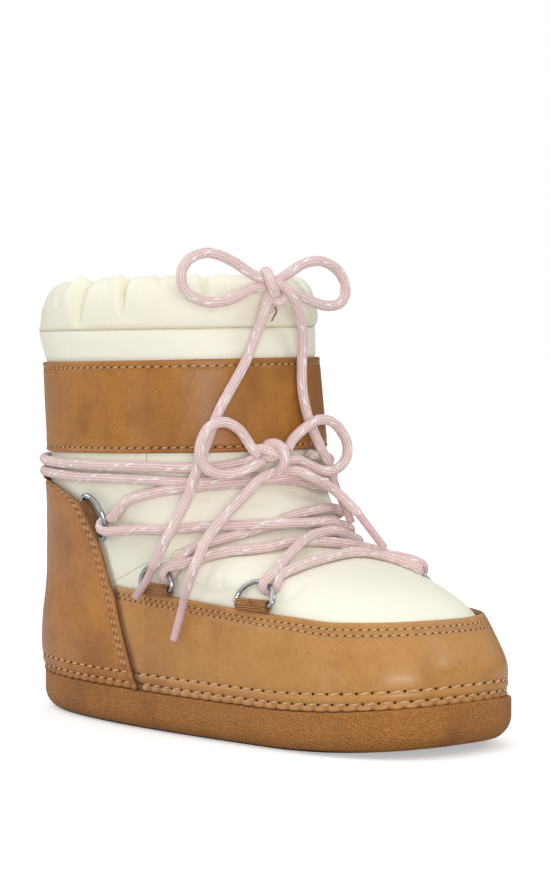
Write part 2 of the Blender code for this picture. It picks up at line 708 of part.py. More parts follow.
def weld(mesh):
    """Join the end caps of a cord to its side."""
    bm = bmesh.new()
    bm.from_mesh(mesh)
    bmesh.ops.remove_doubles(bm, verts=bm.verts, dist=WELD)
    bm.to_mesh(mesh)
    bm.free()


def cord_mesh(name, points):
    """Closed mesh of a cord, for joining to another piece."""
    curve_object = bpy.data.objects.new(name, cord_curve(name, points, STRAND_RESOLUTION))
    bpy.context.scene.collection.objects.link(curve_object)
    depsgraph = bpy.context.evaluated_depsgraph_get()
    mesh = bpy.data.meshes.new_from_object(curve_object.evaluated_get(depsgraph))
    bpy.data.objects.remove(curve_object)
    weld(mesh)
    return mesh


def join_cord(base, name, points, cotton):
    """Join a stretch of cord to a piece."""
    stretch = add_object(name, cord_mesh(name, points), cotton)
    stretch.hide_render = True
    stretch.display_type = "WIRE"
    join = base.modifiers.new(name, "BOOLEAN")
    join.operation = "UNION"
    join.object = stretch


def build_lace_crossings(cotton):
    """All strands of the lace over the boot, joined where they cross."""
    first, *others = [strand_points(*strand) for strand in STRANDS]
    crossings = add_object("lace_crossings", cord_mesh("lace_crossings", first), cotton)
    for i, points in enumerate(others):
        join_cord(crossings, f"strand_{i}", points, cotton)


def build_knot(name, middle, cotton):
    """Knot of a bow."""
    bm = bmesh.new()
    size = Matrix.Diagonal((*(half * MM for half in KNOT_SIZE), 1.0))
    place = Matrix.Translation(Vector(middle) * MM)
    bmesh.ops.create_icosphere(bm, subdivisions=2, radius=1.0, matrix=place @ size)
    return add_object(name, mesh_from(name, bm), cotton)


def build_cords():
    """Lace and drawstring: crossings, knots, loops and ends."""
    pink = (0.85, 0.62, 0.64)
    build_lace_crossings(material("lace_cord", pink, 0.8))
    build_knot("lace_knot", LACE_KNOT, material("lace_knot_cord", pink, 0.8))
    drawn = material("drawstring_knot_cord", pink, 0.8)
    knot = build_knot("drawstring_knot", DRAWSTRING_KNOT, drawn)
    join_cord(knot, "drawstring_lead", smooth_route(DRAWSTRING_LEAD, CORD_STEP), drawn)
    for name, route in FREE_CORDS.items():
        curve = cord_curve(name, smooth_route(route, CORD_STEP), CORD_RESOLUTION)
        add_object(name, curve, material(f"{name}_cord", pink, 0.8))


def main():
    """Build the bootie."""
    for obj in list(bpy.data.objects):
        bpy.data.objects.remove(obj)
    boot = bpy.data.objects.new(BOOT, None)
    bpy.context.scene.collection.objects.link(boot)
    build_outsole()
    build_insole()
    build_upper()
    build_toe_rand()
    build_heel_counter()
    build_shaft_band()
    build_collar_cuff()
    for place in (*RING_PLACES, "heel"):
        for side in SIDES:
            build_ring(place, side)
            build_tab(place, side)
    build_cords()


main()
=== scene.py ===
"""Looks of the winter bootie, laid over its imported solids.

Sizes are in millimetres in the boot's own frame: +X to the toe, +Y to the left, +Z up, from the
floor under its middle. A place on the boot is an angle round it (0 at the toe, 90 at the left
side) and a level, which is the height above the floor where the sole is flat.
"""

import logging
import math
from dataclasses import dataclass
from enum import Enum
from typing import Any, Callable, ClassVar, Sequence

import bmesh
import bpy
import numpy as np
from mathutils import Matrix, Vector
from mathutils.kdtree import KDTree


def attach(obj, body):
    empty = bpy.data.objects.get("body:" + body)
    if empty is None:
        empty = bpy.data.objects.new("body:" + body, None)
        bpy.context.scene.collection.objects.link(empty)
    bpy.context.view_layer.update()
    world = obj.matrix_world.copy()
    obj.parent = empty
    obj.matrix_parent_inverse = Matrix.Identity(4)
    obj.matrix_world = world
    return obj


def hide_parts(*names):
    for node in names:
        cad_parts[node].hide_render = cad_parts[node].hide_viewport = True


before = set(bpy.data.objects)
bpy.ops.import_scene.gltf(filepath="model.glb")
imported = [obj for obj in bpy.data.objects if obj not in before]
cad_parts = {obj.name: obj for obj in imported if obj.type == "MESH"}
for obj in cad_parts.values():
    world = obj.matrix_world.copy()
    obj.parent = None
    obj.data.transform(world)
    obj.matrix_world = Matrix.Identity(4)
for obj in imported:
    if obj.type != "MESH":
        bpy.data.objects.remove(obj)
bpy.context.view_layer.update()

LOG = logging.getLogger("winter_bootie")
BODY = "root"
MM = 0.001
WELD = 2e-6
TINY = 1e-6
TURN = 2.0 * math.pi
# Parts that a route is split into between two of its points
ROUTE_PARTS = 24

Array = np.ndarray
BMesh = bmesh.types.BMesh
Material = bpy.types.Material
Node = bpy.types.Node
Socket = bpy.types.NodeSocket
Colour = tuple[float, float, float]
Point = tuple[float, float, float]
Pair = tuple[float, float]
Table = tuple[tuple[float, ...], ...]
Shape = Callable[[Array, Array], tuple[Array, Array]]
Lay = Callable[[Array, Array, Array], tuple[Array, ...]]


class Side(Enum):
    """Side of the boot, as the sign of its Y."""

    RIGHT = -1.0
    LEFT = 1.0


class Place(Enum):
    """Where along the boot a ring sits."""

    TOE = "toe"
    MID = "mid"
    HEEL = "heel"


class Slot(Enum):
    """Material slots of the record."""

    NYLON = "nylon"
    LEATHER = "leather"
    SOLE = "sole"
    FOOTBED = "footbed"
    WEBBING = "webbing"
    STEEL = "ring_steel"
    LACE = "lace"
    TIP = "lace_tip"


class Pass(Enum):
    """How the lace goes round a ring's arc."""

    OVER_FIRST = 1
    UNDER_FIRST = -1


# Plain geometry


def monotone(table_x: Sequence[float], table_y: Sequence[float], x: Array) -> Array:
    """Smooth curve through the rows of a table that never overshoots them.

    Args:
        table_x: rising places of the rows.
        table_y: values of the rows.
        x: places to read.

    Returns:
        Values at those places.
    """
    xs = np.asarray(table_x, float)
    ys = np.asarray(table_y, float)
    width = np.diff(xs)
    slope = np.diff(ys) / width
    tangent = np.zeros_like(ys)
    tangent[0] = slope[0]
    tangent[-1] = slope[-1]
    for i in range(1, len(xs) - 1):
        if slope[i - 1] * slope[i] > 0:
            before = 2 * width[i] + width[i - 1]
            after = width[i] + 2 * width[i - 1]
            tangent[i] = (before + after) / (before / slope[i - 1] + after / slope[i])
    x = np.asarray(x, float)
    k = np.clip(np.searchsorted(xs, x, "right") - 1, 0, len(width) - 1)
    t = np.clip((x - xs[k]) / width[k], 0.0, 1.0)
    start = (2 * t**3 - 3 * t**2 + 1) * ys[k] + (t**3 - 2 * t**2 + t) * width[k] * tangent[k]
    end = (3 * t**2 - 2 * t**3) * ys[k + 1] + (t**3 - t**2) * width[k] * tangent[k + 1]
    return start + end


def table(rows: Table, x: Array) -> Array:
    """Value of a two-column table."""
    return monotone([row[0] for row in rows], [row[1] for row in rows], x)


def smoothstep(low: float, high: float, x: Array) -> Array:
    """0 below low, 1 above high, with a soft ramp between."""
    t = np.clip((np.asarray(x, float) - low) / (high - low), 0.0, 1.0)
    return t * t * (3 - 2 * t)


def hump(distance: Array, width: float) -> Array:
    """1 on a line, falling softly to 0 a few widths away."""
    return np.exp(-((np.asarray(distance) / width) ** 2))


def unit(vectors: Array) -> Array:
    """Vectors brought to a length of one."""
    return vectors / np.linalg.norm(vectors, axis=-1, keepdims=True)


def run_along(path: Array) -> Array:
    """Length along a path to each of its points."""
    return np.concatenate([[0.0], np.cumsum(np.linalg.norm(np.diff(path, axis=0), axis=1))])


def read_at(path: Array, run: Array, at: Array | float) -> Array:
    """Points of a path at some lengths along it."""
    return np.stack([np.interp(at, run, path[:, i]) for i in range(3)], -1)


def resampled(rows: Array, run: Array, at: Array) -> Array:
    """Rows of a table at some places along it, with each column on a smooth curve."""
    return np.stack([monotone(run, column, at) for column in rows.T], -1)


def smooth_route(points: Sequence[Sequence[float]], step: float) -> Array:
    """Evenly spaced points on a smooth curve through a route's points.

    Args:
        points: the places that the route passes through.
        step: about how far apart the new points are.

    Returns:
        The new points, from the first place to the last.
    """
    p = np.asarray(points, float)
    p = np.vstack([2 * p[0] - p[1], p, 2 * p[-1] - p[-2]])
    knots = np.concatenate([[0.0], np.cumsum(np.sqrt(np.linalg.norm(np.diff(p, axis=0), axis=1)))])
    gap = np.diff(knots)[:, None]
    slope = np.diff(p, axis=0) / gap
    tangent = (slope[1:] * gap[:-1] + slope[:-1] * gap[1:]) / (gap[:-1] + gap[1:])
    t = np.linspace(0.0, 1.0, ROUTE_PARTS, endpoint=False)[None, :, None]
    a, b = p[1:-2, None], p[2:-1, None]
    span = gap[1:-1, None]
    first, last = tangent[:-1, None] * span, tangent[1:, None] * span
    fine = (2 * t**3 - 3 * t**2 + 1) * a + (t**3 - 2 * t**2 + t) * first
    fine = fine + (3 * t**2 - 2 * t**3) * b + (t**3 - t**2) * last
    fine = np.vstack([fine.reshape(-1, 3), p[-2]])
    run = run_along(fine)
    return read_at(fine, run, np.linspace(0.0, run[-1], max(3, round(run[-1] / step)) + 1))


def length_of(path: Array) -> float:
    """Length of a path through points."""
    return float(np.linalg.norm(np.diff(path, axis=0), axis=1).sum())


def nearest(samples: Array, points: Array) -> Array:
    """Distance from each point to the nearest of some samples.

    Args:
        samples: the points to measure to.
        points: the points to measure from.

    Returns:
        One distance for each point.
    """
    tree = KDTree(len(samples))
    for i, sample in enumerate(samples):
        tree.insert(sample, i)
    tree.balance()
    return np.array([tree.find(point)[2] for point in points])


def mirrored(line: Table) -> Table:
    """A line of angles and levels on the other side of the boot."""
    return tuple((-angle, *rest) for angle, *rest in line)


def picked(values: Array, share: Array) -> Array:
    """Rows of an array at shares from 0 to 1 along it."""
    return values[np.rint(share * (len(values) - 1)).astype(int)]


# Meshes and objects


def lay_grid(columns: int, rows: int, shape: Shape, size: Pair = (1.0, 1.0)) -> BMesh:
    """Grid of faces laid on a surface, with the edges that meet welded.

    Args:
        columns: faces along u.
        rows: faces along v.
        shape: gives points in millimetres, and darkening from 0 to 1 (darker cut edges and painted shade),
            for arrays of u and v from 0 to 1.
        size: lengths of u and v on the UV map.

    Returns:
        The mesh in metres, with its faces outward.
    """
    bm = bmesh.new()
    uv = bm.loops.layers.uv.new("UVMap")
    wear = bm.verts.layers.float.new("wear")
    bmesh.ops.create_grid(bm, x_segments=columns, y_segments=rows, size=0.5, calc_uvs=True)
    place = np.array([vert.co[:2] for vert in bm.verts]) + 0.5
    points, wear_and_shade_amounts = shape(place[:, 0], place[:, 1])
    for vert, point, amount in zip(bm.verts, points * MM, wear_and_shade_amounts):
        vert.co = point
        vert[wear] = amount
    for face in bm.faces:
        for loop in face.loops:
            at = loop[uv].uv
            loop[uv].uv = (at.x * size[0], at.y * size[1])
    bmesh.ops.remove_doubles(bm, verts=bm.verts, dist=WELD)
    bmesh.ops.recalc_face_normals(bm, faces=bm.faces)
    return bm


def mesh_from(name: str, bm: BMesh) -> bpy.types.Mesh:
    """Mesh with a name.

    Args:
        name: the mesh's name.
        bm: what it is made from, which is used up.

    Returns:
        The mesh.
    """
    mesh = bpy.data.meshes.new(name)
    bm.to_mesh(mesh)
    bm.free()
    return mesh


def show(name: str, data: bpy.types.ID) -> bpy.types.Object:
    """Put a mesh, light or camera into the scene.

    Args:
        name: the object's name.
        data: what it shows.

    Returns:
        The new object.
    """
    item = bpy.data.objects.new(name, data)
    bpy.context.scene.collection.objects.link(item)
    return item


def add_piece(name: str, bm: BMesh, finishes: Sequence[Material],
              replaced: Sequence[str] = ()) -> bpy.types.Object:
    """Make a smooth piece of the boot that rides on it.

    Args:
        name: the piece's name.
        bm: its mesh, which is used up.
        finishes: its materials.
        replaced: the solids that it stands for.

    Returns:
        The new object.
    """
    mesh = mesh_from(name, bm)
    mesh.shade_smooth()
    for finish in finishes:
        mesh.materials.append(finish)
    piece = show(name, mesh)
    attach(piece, BODY)
    if replaced:
        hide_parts(*replaced)
    LOG.info("%s: %d faces", name, len(mesh.polygons))
    return piece


# Outside of the boot


@dataclass(frozen=True)
class Last:
    """Outside of the boot as a surface, and the lines that its leather follows."""

    sole_top: float = 19.5
    face_gap: float = 0.3
    sole_toe: float = 142.2
    rise_at_toe: float = 5.6
    spring_start: float = 58.0
    spring_fade: Pair = (25.0, 75.0)
    seam: float = 193.0
    columns: tuple[str, ...] = ("heel", "toe", "widest", "half", "heel_round", "toe_round", "rise")
    sections: Table = (
        (19.8, -139.0, 137.0, 46.0, 55.0, 2.60, 2.65, 0.0),
        (32.0, -140.3, 138.5, 46.0, 56.5, 2.70, 2.60, 0.0),
        (46.0, -138.7, 133.5, 44.0, 56.0, 2.80, 2.50, 0.0),
        (60.0, -136.5, 122.5, 36.0, 54.0, 2.85, 2.40, 0.0),
        (72.0, -135.0, 99.0, 22.0, 53.0, 2.85, 2.30, 0.0),
        (84.0, -133.2, 53.5, -4.0, 53.0, 2.80, 2.10, 0.0),
        (88.5, -132.3, 39.5, -12.5, 53.4, 2.76, 2.10, 0.0),
        (96.0, -130.5, 33.6, -26.0, 54.5, 2.70, 2.10, 0.0),
        (108.0, -127.5, 25.6, -44.0, 57.0, 2.50, 2.10, 0.010),
        (120.0, -125.0, 19.5, -53.0, 60.0, 2.35, 2.10, 0.020),
        (134.0, -123.8, 18.5, -55.0, 61.5, 2.20, 2.10, 0.025),
        (155.0, -126.3, 15.5, -57.0, 61.5, 2.10, 2.10, 0.025),
        (176.0, -127.6, 12.5, -60.0, 61.5, 2.10, 2.10, 0.025),
        (193.0, -132.8, 10.2, -62.0, 63.8, 2.10, 2.10, 0.025),
    )
    # Top edge of the toe rand: place along the boot and level
    rand_top: Table = ((-60.0, 68.3), (-7.0, 65.6), (39.5, 63.1), (73.0, 61.1), (97.0, 58.7), (125.0, 57.6))
    # Front edge of the heel counter: level and place along the boot
    counter_edge: Table = (
        (19.8, -29.5), (28.5, -32.7), (38.0, -36.5), (60.0, -47.0), (74.0, -52.5), (91.0, -58.3),
        (101.0, -62.5), (109.0, -67.0), (115.0, -77.6), (118.6, -90.0), (120.0, -104.0),
    )

    @property
    def floor(self) -> float:
        """Level of the upper's lower edge."""
        return self.sole_top + self.face_gap

    def spring(self, x: Array) -> Array:
        """Rise of the sole under the toe."""
        reach = self.sole_toe - self.spring_start
        return self.rise_at_toe * np.clip((np.asarray(x, float) - self.spring_start) / reach, 0.0, None) ** 2

    def row(self, level: Array) -> dict[str, Array]:
        """Named sizes of the boot's section at a level."""
        levels, *columns = zip(*self.sections)
        return {name: monotone(levels, column, level) for name, column in zip(self.columns, columns)}

    @staticmethod
    def egg(theta: Array, row: dict[str, Array]) -> tuple[Array, Array]:
        """Foot-shaped outline: a rounded curve from the toe and another from the heel.

        Args:
            theta: angles round the outline.
            row: its named sizes.

        Returns:
            Places along and across the boot.
        """
        c = np.cos(theta)
        s = np.sin(theta)
        power = 2.0 / np.where(c >= 0, row["toe_round"], row["heel_round"])
        reach = np.where(c >= 0, row["toe"] - row["widest"], row["widest"] - row["heel"])
        x = row["widest"] + reach * np.sign(c) * np.abs(c) ** power
        y = row["half"] * np.sign(s) * np.abs(s) ** power
        return x, y

    def point(self, theta: Array, level: Array) -> Array:
        """Point on the outside of the boot.

        Args:
            theta: angles round the boot.
            level: levels up it.

        Returns:
            The points.
        """
        theta, level = np.broadcast_arrays(np.asarray(theta, float), np.asarray(level, float))
        row = self.row(level)
        x, y = self.egg(theta, row)
        fade = 1 - smoothstep(*self.spring_fade, level)
        return np.stack([x, y, level + row["rise"] * (x - row["widest"]) + self.spring(x) * fade], -1)

    def frame(self, theta: Array, level: Array) -> tuple[Array, Array, Array, Array]:
        """Point on the boot, with the directions round it, up it and out of it.

        Args:
            theta: angles round the boot.
            level: levels up it.

        Returns:
            The points, and unit vectors round, up and outward.
        """
        step = 1e-3
        theta = np.asarray(theta, float)
        level = np.clip(level, self.sections[0][0] + step, self.sections[-1][0] - step)
        around = self.point(theta + step, level) - self.point(theta - step, level)
        upward = self.point(theta, level + step) - self.point(theta, level - step)
        return self.point(theta, level), unit(around), unit(upward), unit(np.cross(around, upward))

    def skin(self, theta: Array, level: Array, offset: Array | float) -> Array:
        """Point at a distance outside the boot."""
        point, _, _, normal = self.frame(theta, level)
        return point + normal * np.broadcast_to(offset, point.shape[:-1])[..., None]

    def theta_at(self, level: Array, x: Array) -> Array:
        """Angle, on the left side, of a place along the boot.

        Args:
            level: levels up the boot.
            x: places along it.

        Returns:
            The angles.
        """
        row = self.row(level)
        front = x >= row["widest"]
        reach = np.where(front, row["toe"] - row["widest"], row["widest"] - row["heel"])
        roundness = np.where(front, row["toe_round"], row["heel_round"])
        share = np.clip(np.abs(x - row["widest"]) / reach, 0.0, 1.0) ** (roundness / 2)
        return np.arccos(np.where(front, share, -share))

    def leather_top(self, x: Array) -> Array:
        """Level where the lower leather ends, at a place along the boot."""
        counter = tuple((place, level) for level, place in reversed(self.counter_edge))
        return np.maximum(table(self.rand_top, x), table(counter, x))

    def along(self, line: Table, step: float, lift: float = 0.0) -> Array:
        """Evenly spaced points on the boot along a line of angles in degrees and levels."""
        degrees, levels = np.array(line, float).T
        return smooth_route(self.skin(np.radians(degrees), levels, lift), step)


# Shaders


class Tree:
    """A shader tree, with short calls to add and join its nodes."""

    def __init__(self, tree: bpy.types.NodeTree) -> None:
        """Take the tree to add to."""
        self.tree = tree

    def feed(self, node: Node, inputs: dict[Any, Any]) -> None:
        """Join other nodes' sockets to a node's own, or set those to values.

        Args:
            node: the node.
            inputs: sockets or values, by the name or number of the node's own sockets.
        """
        for key, value in inputs.items():
            if isinstance(value, Socket):
                self.tree.links.new(value, node.inputs[key])
            else:
                node.inputs[key].default_value = value

    def node(self, kind: str, inputs: dict[Any, Any] | None = None, **settings: Any) -> Node:
        """Add a node.

        Args:
            kind: the node's type.
            inputs: values or other nodes' sockets for its own sockets, by name or number.
            settings: its properties.

        Returns:
            The node.
        """
        node = self.tree.nodes.new(kind)
        for name, value in settings.items():
            setattr(node, name, value)
        self.feed(node, inputs or {})
        return node

    def math(self, operation: str, *values: Any) -> Socket:
        """Sum, product or other reckoning of sockets and numbers."""
        return self.node("ShaderNodeMath", dict(enumerate(values)), operation=operation).outputs[0]

    def times(self, first: Any, second: Any) -> Socket:
        """Product of two sockets or numbers."""
        return self.math("MULTIPLY", first, second)

    def vector(self, operation: str, inputs: dict[Any, Any]) -> Socket:
        """Reckoning of vectors."""
        return self.node("ShaderNodeVectorMath", inputs, operation=operation).outputs[0]

    def ramp(self, value: Any, low: float, high: float, start: float = 0.0, end: float = 1.0) -> Socket:
        """Value moved smoothly from one range to another."""
        inputs = {"Value": value, "From Min": low, "From Max": high, "To Min": start, "To Max": end}
        return self.node("ShaderNodeMapRange", inputs, interpolation_type="SMOOTHSTEP").outputs["Result"]

    def mix(self, share: Any, first: Any, second: Any) -> Socket:
        """Two colours mixed by a share."""
        return self.node("ShaderNodeMix", {"Factor": share, 6: first, 7: second}, data_type="RGBA").outputs[2]

    def noise(self, vector: Any, scale: float, detail: float = 2.0, rough: float = 0.5) -> Socket:
        """Soft noise of a scale in waves a metre."""
        inputs = {"Vector": vector, "Scale": scale, "Detail": detail, "Roughness": rough}
        return self.node("ShaderNodeTexNoise", inputs).outputs["Fac"]

    def group(self, tree: bpy.types.NodeTree, inputs: dict[str, Any]) -> Any:
        """Outputs of a shared effect with its own values."""
        return self.node("ShaderNodeGroup", inputs, node_tree=tree).outputs

    def place(self, kind: str = "Object") -> Socket:
        """Coordinates on a piece."""
        return self.node("ShaderNodeTexCoord").outputs[kind]

    def wear(self) -> Socket:
        """Darkening that a mesh carries on its points: darker cut edges and painted shade."""
        return self.node("ShaderNodeAttribute", attribute_name="wear").outputs["Fac"]


def opaque(colour: Colour) -> tuple[float, float, float, float]:
    """Colour with full alpha."""
    return (*colour, 1.0)


class Effects:
    """Shader effects that several finishes share, each built once."""

    # Types of the groups' sockets, where they aren't plain numbers
    kinds: ClassVar[dict[str, str]] = {
        "Vector": "NodeSocketVector", **dict.fromkeys(("Base", "Dark", "Light", "Color"), "NodeSocketColor")}

    def __init__(self) -> None:
        """Build the groups."""
        self.mottle = self.build_mottle()
        self.grain = self.build_grain()
        self.weave = self.build_weave()

    def start(self, name: str, inputs: Sequence[str], outputs: Sequence[str]) -> tuple[Tree, Any, Node]:
        """Begin a group.

        Args:
            name: the group's name.
            inputs: names of its inputs.
            outputs: names of its outputs.

        Returns:
            The tree, the sockets of its inputs and the node of its outputs.
        """
        group = bpy.data.node_groups.new(name, "ShaderNodeTree")
        for way, keys in (("INPUT", inputs), ("OUTPUT", outputs)):
            for key in keys:
                kind = self.kinds.get(key, "NodeSocketFloat")
                group.interface.new_socket(key, in_out=way, socket_type=kind)
        tree = Tree(group)
        return tree, tree.node("NodeGroupInput").outputs, tree.node("NodeGroupOutput")

    def build_mottle(self) -> bpy.types.NodeTree:
        """Cloudy colour between a dark, a base and a light tone.

        Returns:
            The group.
        """
        names = ("Vector", "Scale", "Amount", "Base", "Dark", "Light")
        tree, ins, out = self.start("Mottle", names, ("Color", "Cloud"))
        vector = tree.vector("SCALE", {0: ins["Vector"], "Scale": ins["Scale"]})
        cloud = tree.noise(vector, 1.0, 4.0, 0.6)
        fine = tree.noise(vector, 7.0, 3.0, 0.6)
        dark = tree.times(tree.ramp(cloud, 0.5, 0.28), ins["Amount"])
        light = tree.times(tree.ramp(cloud, 0.52, 0.75), ins["Amount"])
        speck = tree.times(tree.ramp(fine, 0.5, 0.3, 0.0, 0.45), ins["Amount"])
        colour = ins["Base"]
        for share, tone in ((dark, "Dark"), (speck, "Dark"), (light, "Light")):
            colour = tree.mix(share, colour, ins[tone])
        tree.feed(out, {"Color": colour, "Cloud": cloud})
        return tree.tree

    def build_grain(self) -> bpy.types.NodeTree:
        """Pebbled height of leather and moulded rubber, with the pits between the pebbles.

        Returns:
            The group.
        """
        tree, ins, out = self.start("Grain", ("Vector", "Scale", "Uneven"), ("Height", "Pit"))
        vector = tree.vector("SCALE", {0: ins["Vector"], "Scale": ins["Scale"]})
        noise = tree.node("ShaderNodeTexNoise", {"Vector": vector, "Scale": 0.6, "Detail": 2.0})
        moved = tree.vector("ADD", {0: noise.outputs["Color"], 1: vector})
        cells = tree.node("ShaderNodeTexVoronoi", {"Vector": moved, "Scale": 1.0, "Smoothness": 0.5},
                          feature="SMOOTH_F1").outputs["Distance"]
        uneven = tree.times(tree.noise(vector, 0.35, 3.0), ins["Uneven"])
        height = tree.math("ADD", tree.ramp(cells, 0.75, 0.1), uneven)
        tree.feed(out, {"Height": height, "Pit": tree.ramp(cells, 0.45, 0.8)})
        return tree.tree

    def build_weave(self) -> bpy.types.NodeTree:
        """Plain weave: threads over and under each other on a UV map in millimetres.

        Returns:
            The group.
        """
        tree, ins, out = self.start("Weave", ("Vector", "Thread"), ("Height",))
        axes = tree.node("ShaderNodeSeparateXYZ", {0: ins["Vector"]}).outputs
        turns = [tree.math("DIVIDE", axes[axis], ins["Thread"]) for axis in ("X", "Y")]
        height = tree.times(*(tree.math("SINE", tree.times(turn, math.pi)) for turn in turns))
        tree.feed(out, {"Height": tree.math("MULTIPLY_ADD", height, 0.5, 0.5)})
        return tree.tree


@dataclass(frozen=True)
class Finish:
    """A surface: its tones, its gloss and the size of its detail."""

    name: str
    roughness: float
    relief: float
    base: Colour
    dark: Colour
    light: Colour
    effects: Effects
    # Values of the shader's own sockets
    gloss: ClassVar[dict[str, float]] = {}

    def make(self) -> Material:
        """Build the material.

        Returns:
            The material.
        """
        material = bpy.data.materials.new(self.name)
        material.use_nodes = True
        tree = Tree(material.node_tree)
        shader = material.node_tree.nodes["Principled BSDF"]
        tree.feed(shader, {"Roughness": self.roughness, **self.gloss})
        tree.feed(shader, self.look(tree))
        return material

    def look(self, tree: Tree) -> dict[str, Any]:
        """Sockets of the finish, for the shader's own."""
        raise NotImplementedError

    def clouds(self, tree: Tree, scale: float, amount: float) -> Any:
        """The finish's three tones, mottled.

        Args:
            tree: the material's tree.
            scale: size of the clouds, in waves a metre.
            amount: how strong they are.

        Returns:
            The effect's outputs.
        """
        values = {"Vector": tree.place(), "Scale": scale, "Amount": amount,
                  "Base": opaque(self.base), "Dark": opaque(self.dark), "Light": opaque(self.light)}
        return tree.group(self.effects.mottle, values)

    def darker(self, tree: Tree, colour: Socket, *shares: Any) -> Socket:
        """A colour mixed with the dark tone by each share in turn.

        Args:
            tree: the material's tree.
            colour: the colour.
            shares: the shares.

        Returns:
            The mixed colour.
        """
        for share in shares:
            colour = tree.mix(share, colour, opaque(self.dark))
        return colour

    def dent(self, tree: Tree, height: Any, distance: float) -> Socket:
        """Normal of the surface, raised by a height."""
        values = {"Height": height, "Strength": self.relief, "Distance": distance * MM}
        return tree.node("ShaderNodeBump", values).outputs["Normal"]


class Nylon(Finish):
    """Cream coated nylon: a fine weave, slightly cloudy, darker on the cuff, and darker still in its folds as
    painted shade.
    """

    gloss = {"Sheen Weight": 0.12, "Sheen Roughness": 0.4, "Specular IOR Level": 0.35}

    def look(self, tree: Tree) -> dict[str, Any]:
        """Sockets of the finish.

        Args:
            tree: the material's tree.

        Returns:
            The sockets, by the names of the shader's own.
        """
        # The cuff's darkening, with painted shade in its fold valleys
        colour = self.darker(tree, self.clouds(tree, 28.0, 0.2)["Color"], tree.times(tree.wear(), 0.6))
        weave = tree.group(self.effects.weave, {"Vector": tree.place("UV"), "Thread": 0.45})["Height"]
        ripple = tree.noise(tree.place(), 160.0, 3.0, 0.6)
        height = tree.math("MULTIPLY_ADD", weave, 0.12, tree.times(ripple, 1.3))
        return {"Base Color": colour, "Normal": self.dent(tree, height, 0.5)}


@dataclass(frozen=True)
class Leather(Finish):
    """Tan leather: mottled, finely grained, darker and redder on its cut edges, with painted shade along its
    stitch rows, at the sole and at the rand's ends.
    """

    gloss = {"Coat Roughness": 0.27, "Specular IOR Level": 0.3}
    # Colour of the darker cut edges and of the painted shade
    edge_and_shade: Colour = (0.12, 0.034, 0.01)
    coat: float = 0.2

    def look(self, tree: Tree) -> dict[str, Any]:
        """Sockets of the finish.

        Args:
            tree: the material's tree.

        Returns:
            The sockets, by the names of the shader's own.
        """
        place = tree.place()
        clouds = self.clouds(tree, 30.0, 0.6)
        grain = tree.group(self.effects.grain, {"Vector": place, "Scale": 950.0, "Uneven": 0.9})
        upright = tree.vector("MULTIPLY", {0: place, 1: (1.0, 1.0, 0.4)})
        patch = tree.ramp(tree.noise(upright, 22.0, 3.0, 0.55), 0.54, 0.32, 0.0, 0.85)
        speck = tree.ramp(tree.noise(place, 130.0, 5.0, 0.68), 0.52, 0.3, 0.0, 0.42)
        colour = self.darker(tree, clouds["Color"], tree.times(grain["Pit"], 0.35), patch, speck)
        # Darker cut edges, and painted shade along stitch rows, at the sole and under the counter
        colour = tree.mix(tree.wear(), colour, opaque(self.edge_and_shade))
        rough = tree.ramp(clouds["Cloud"], 0.3, 0.7, self.roughness - 0.08, self.roughness + 0.1)
        creases = tree.noise(place, 230.0, 5.0, 0.7)
        height = tree.math("MULTIPLY_ADD", creases, 1.4, tree.times(grain["Height"], 0.5))
        return {"Base Color": colour, "Roughness": rough, "Coat Weight": self.coat,
                "Normal": self.dent(tree, height, 0.22)}


class Rubber(Finish):
    """Moulded sole: brown, pebbled all over its wall, with painted contact shadow where it meets the floor.
    """

    gloss = {"Specular IOR Level": 0.4}
    # Colour of the painted contact shadow
    contact_shadow: ClassVar[Colour] = (0.012, 0.007, 0.004)

    def look(self, tree: Tree) -> dict[str, Any]:
        """Sockets of the finish.

        Args:
            tree: the material's tree.

        Returns:
            The sockets, by the names of the shader's own.
        """
        grain = tree.group(self.effects.grain, {"Vector": tree.place(), "Scale": 1000.0, "Uneven": 0.4})
        colour = self.darker(tree, self.clouds(tree, 36.0, 0.5)["Color"], tree.times(grain["Pit"], 0.65))
        # Painted contact shadow along the lower edge, where the sole meets the floor
        colour = tree.mix(tree.wear(), colour, opaque(self.contact_shadow))
        return {"Base Color": colour, "Normal": self.dent(tree, grain["Height"], 0.7)}


class Felt(Finish):
    """Soft footbed and lining."""

    gloss = {"Sheen Weight": 0.3, "Sheen Roughness": 0.5, "Specular IOR Level": 0.2}
    # Scale and amount of the clouds, then scale, detail and roughness of the nap, and its depth
    cloud: ClassVar[Pair] = (90.0, 0.8)
    nap: ClassVar[Point] = (900.0, 4.0, 0.7)
    depth: ClassVar[float] = 0.6

    def look(self, tree: Tree) -> dict[str, Any]:
        """Sockets of the finish."""
        normal = self.dent(tree, tree.noise(tree.place(), *self.nap), self.depth)
        return {"Base Color": self.clouds(tree, *self.cloud)["Color"], "Normal": normal}


class Thread(Felt):
    """Stitching thread; also the painted shade in needle holes and in the drawstring's slit."""

    gloss = {"Specular IOR Level": 0.3}
    cloud = (400.0, 0.8)
    nap = (2600.0, 2.0, 0.5)
    depth = 0.15


class Webbing(Finish):
    """Ribbed brown webbing, with painted shade between its ribs, inside its loop and on the heel's tabs."""

    gloss = {"Sheen Weight": 0.2, "Sheen Roughness": 0.4, "Specular IOR Level": 0.3}

    def look(self, tree: Tree) -> dict[str, Any]:
        """Sockets of the finish.

        Args:
            tree: the material's tree.

        Returns:
            The sockets, by the names of the shader's own.
        """
        # Painted shade between the ribs, inside the loop and on the heel's tabs
        colour = self.darker(tree, self.clouds(tree, 260.0, 0.9)["Color"], tree.wear())
        weave = tree.group(self.effects.weave, {"Vector": tree.place("UV"), "Thread": 0.6})["Height"]
        return {"Base Color": colour, "Normal": self.dent(tree, weave, 0.25)}


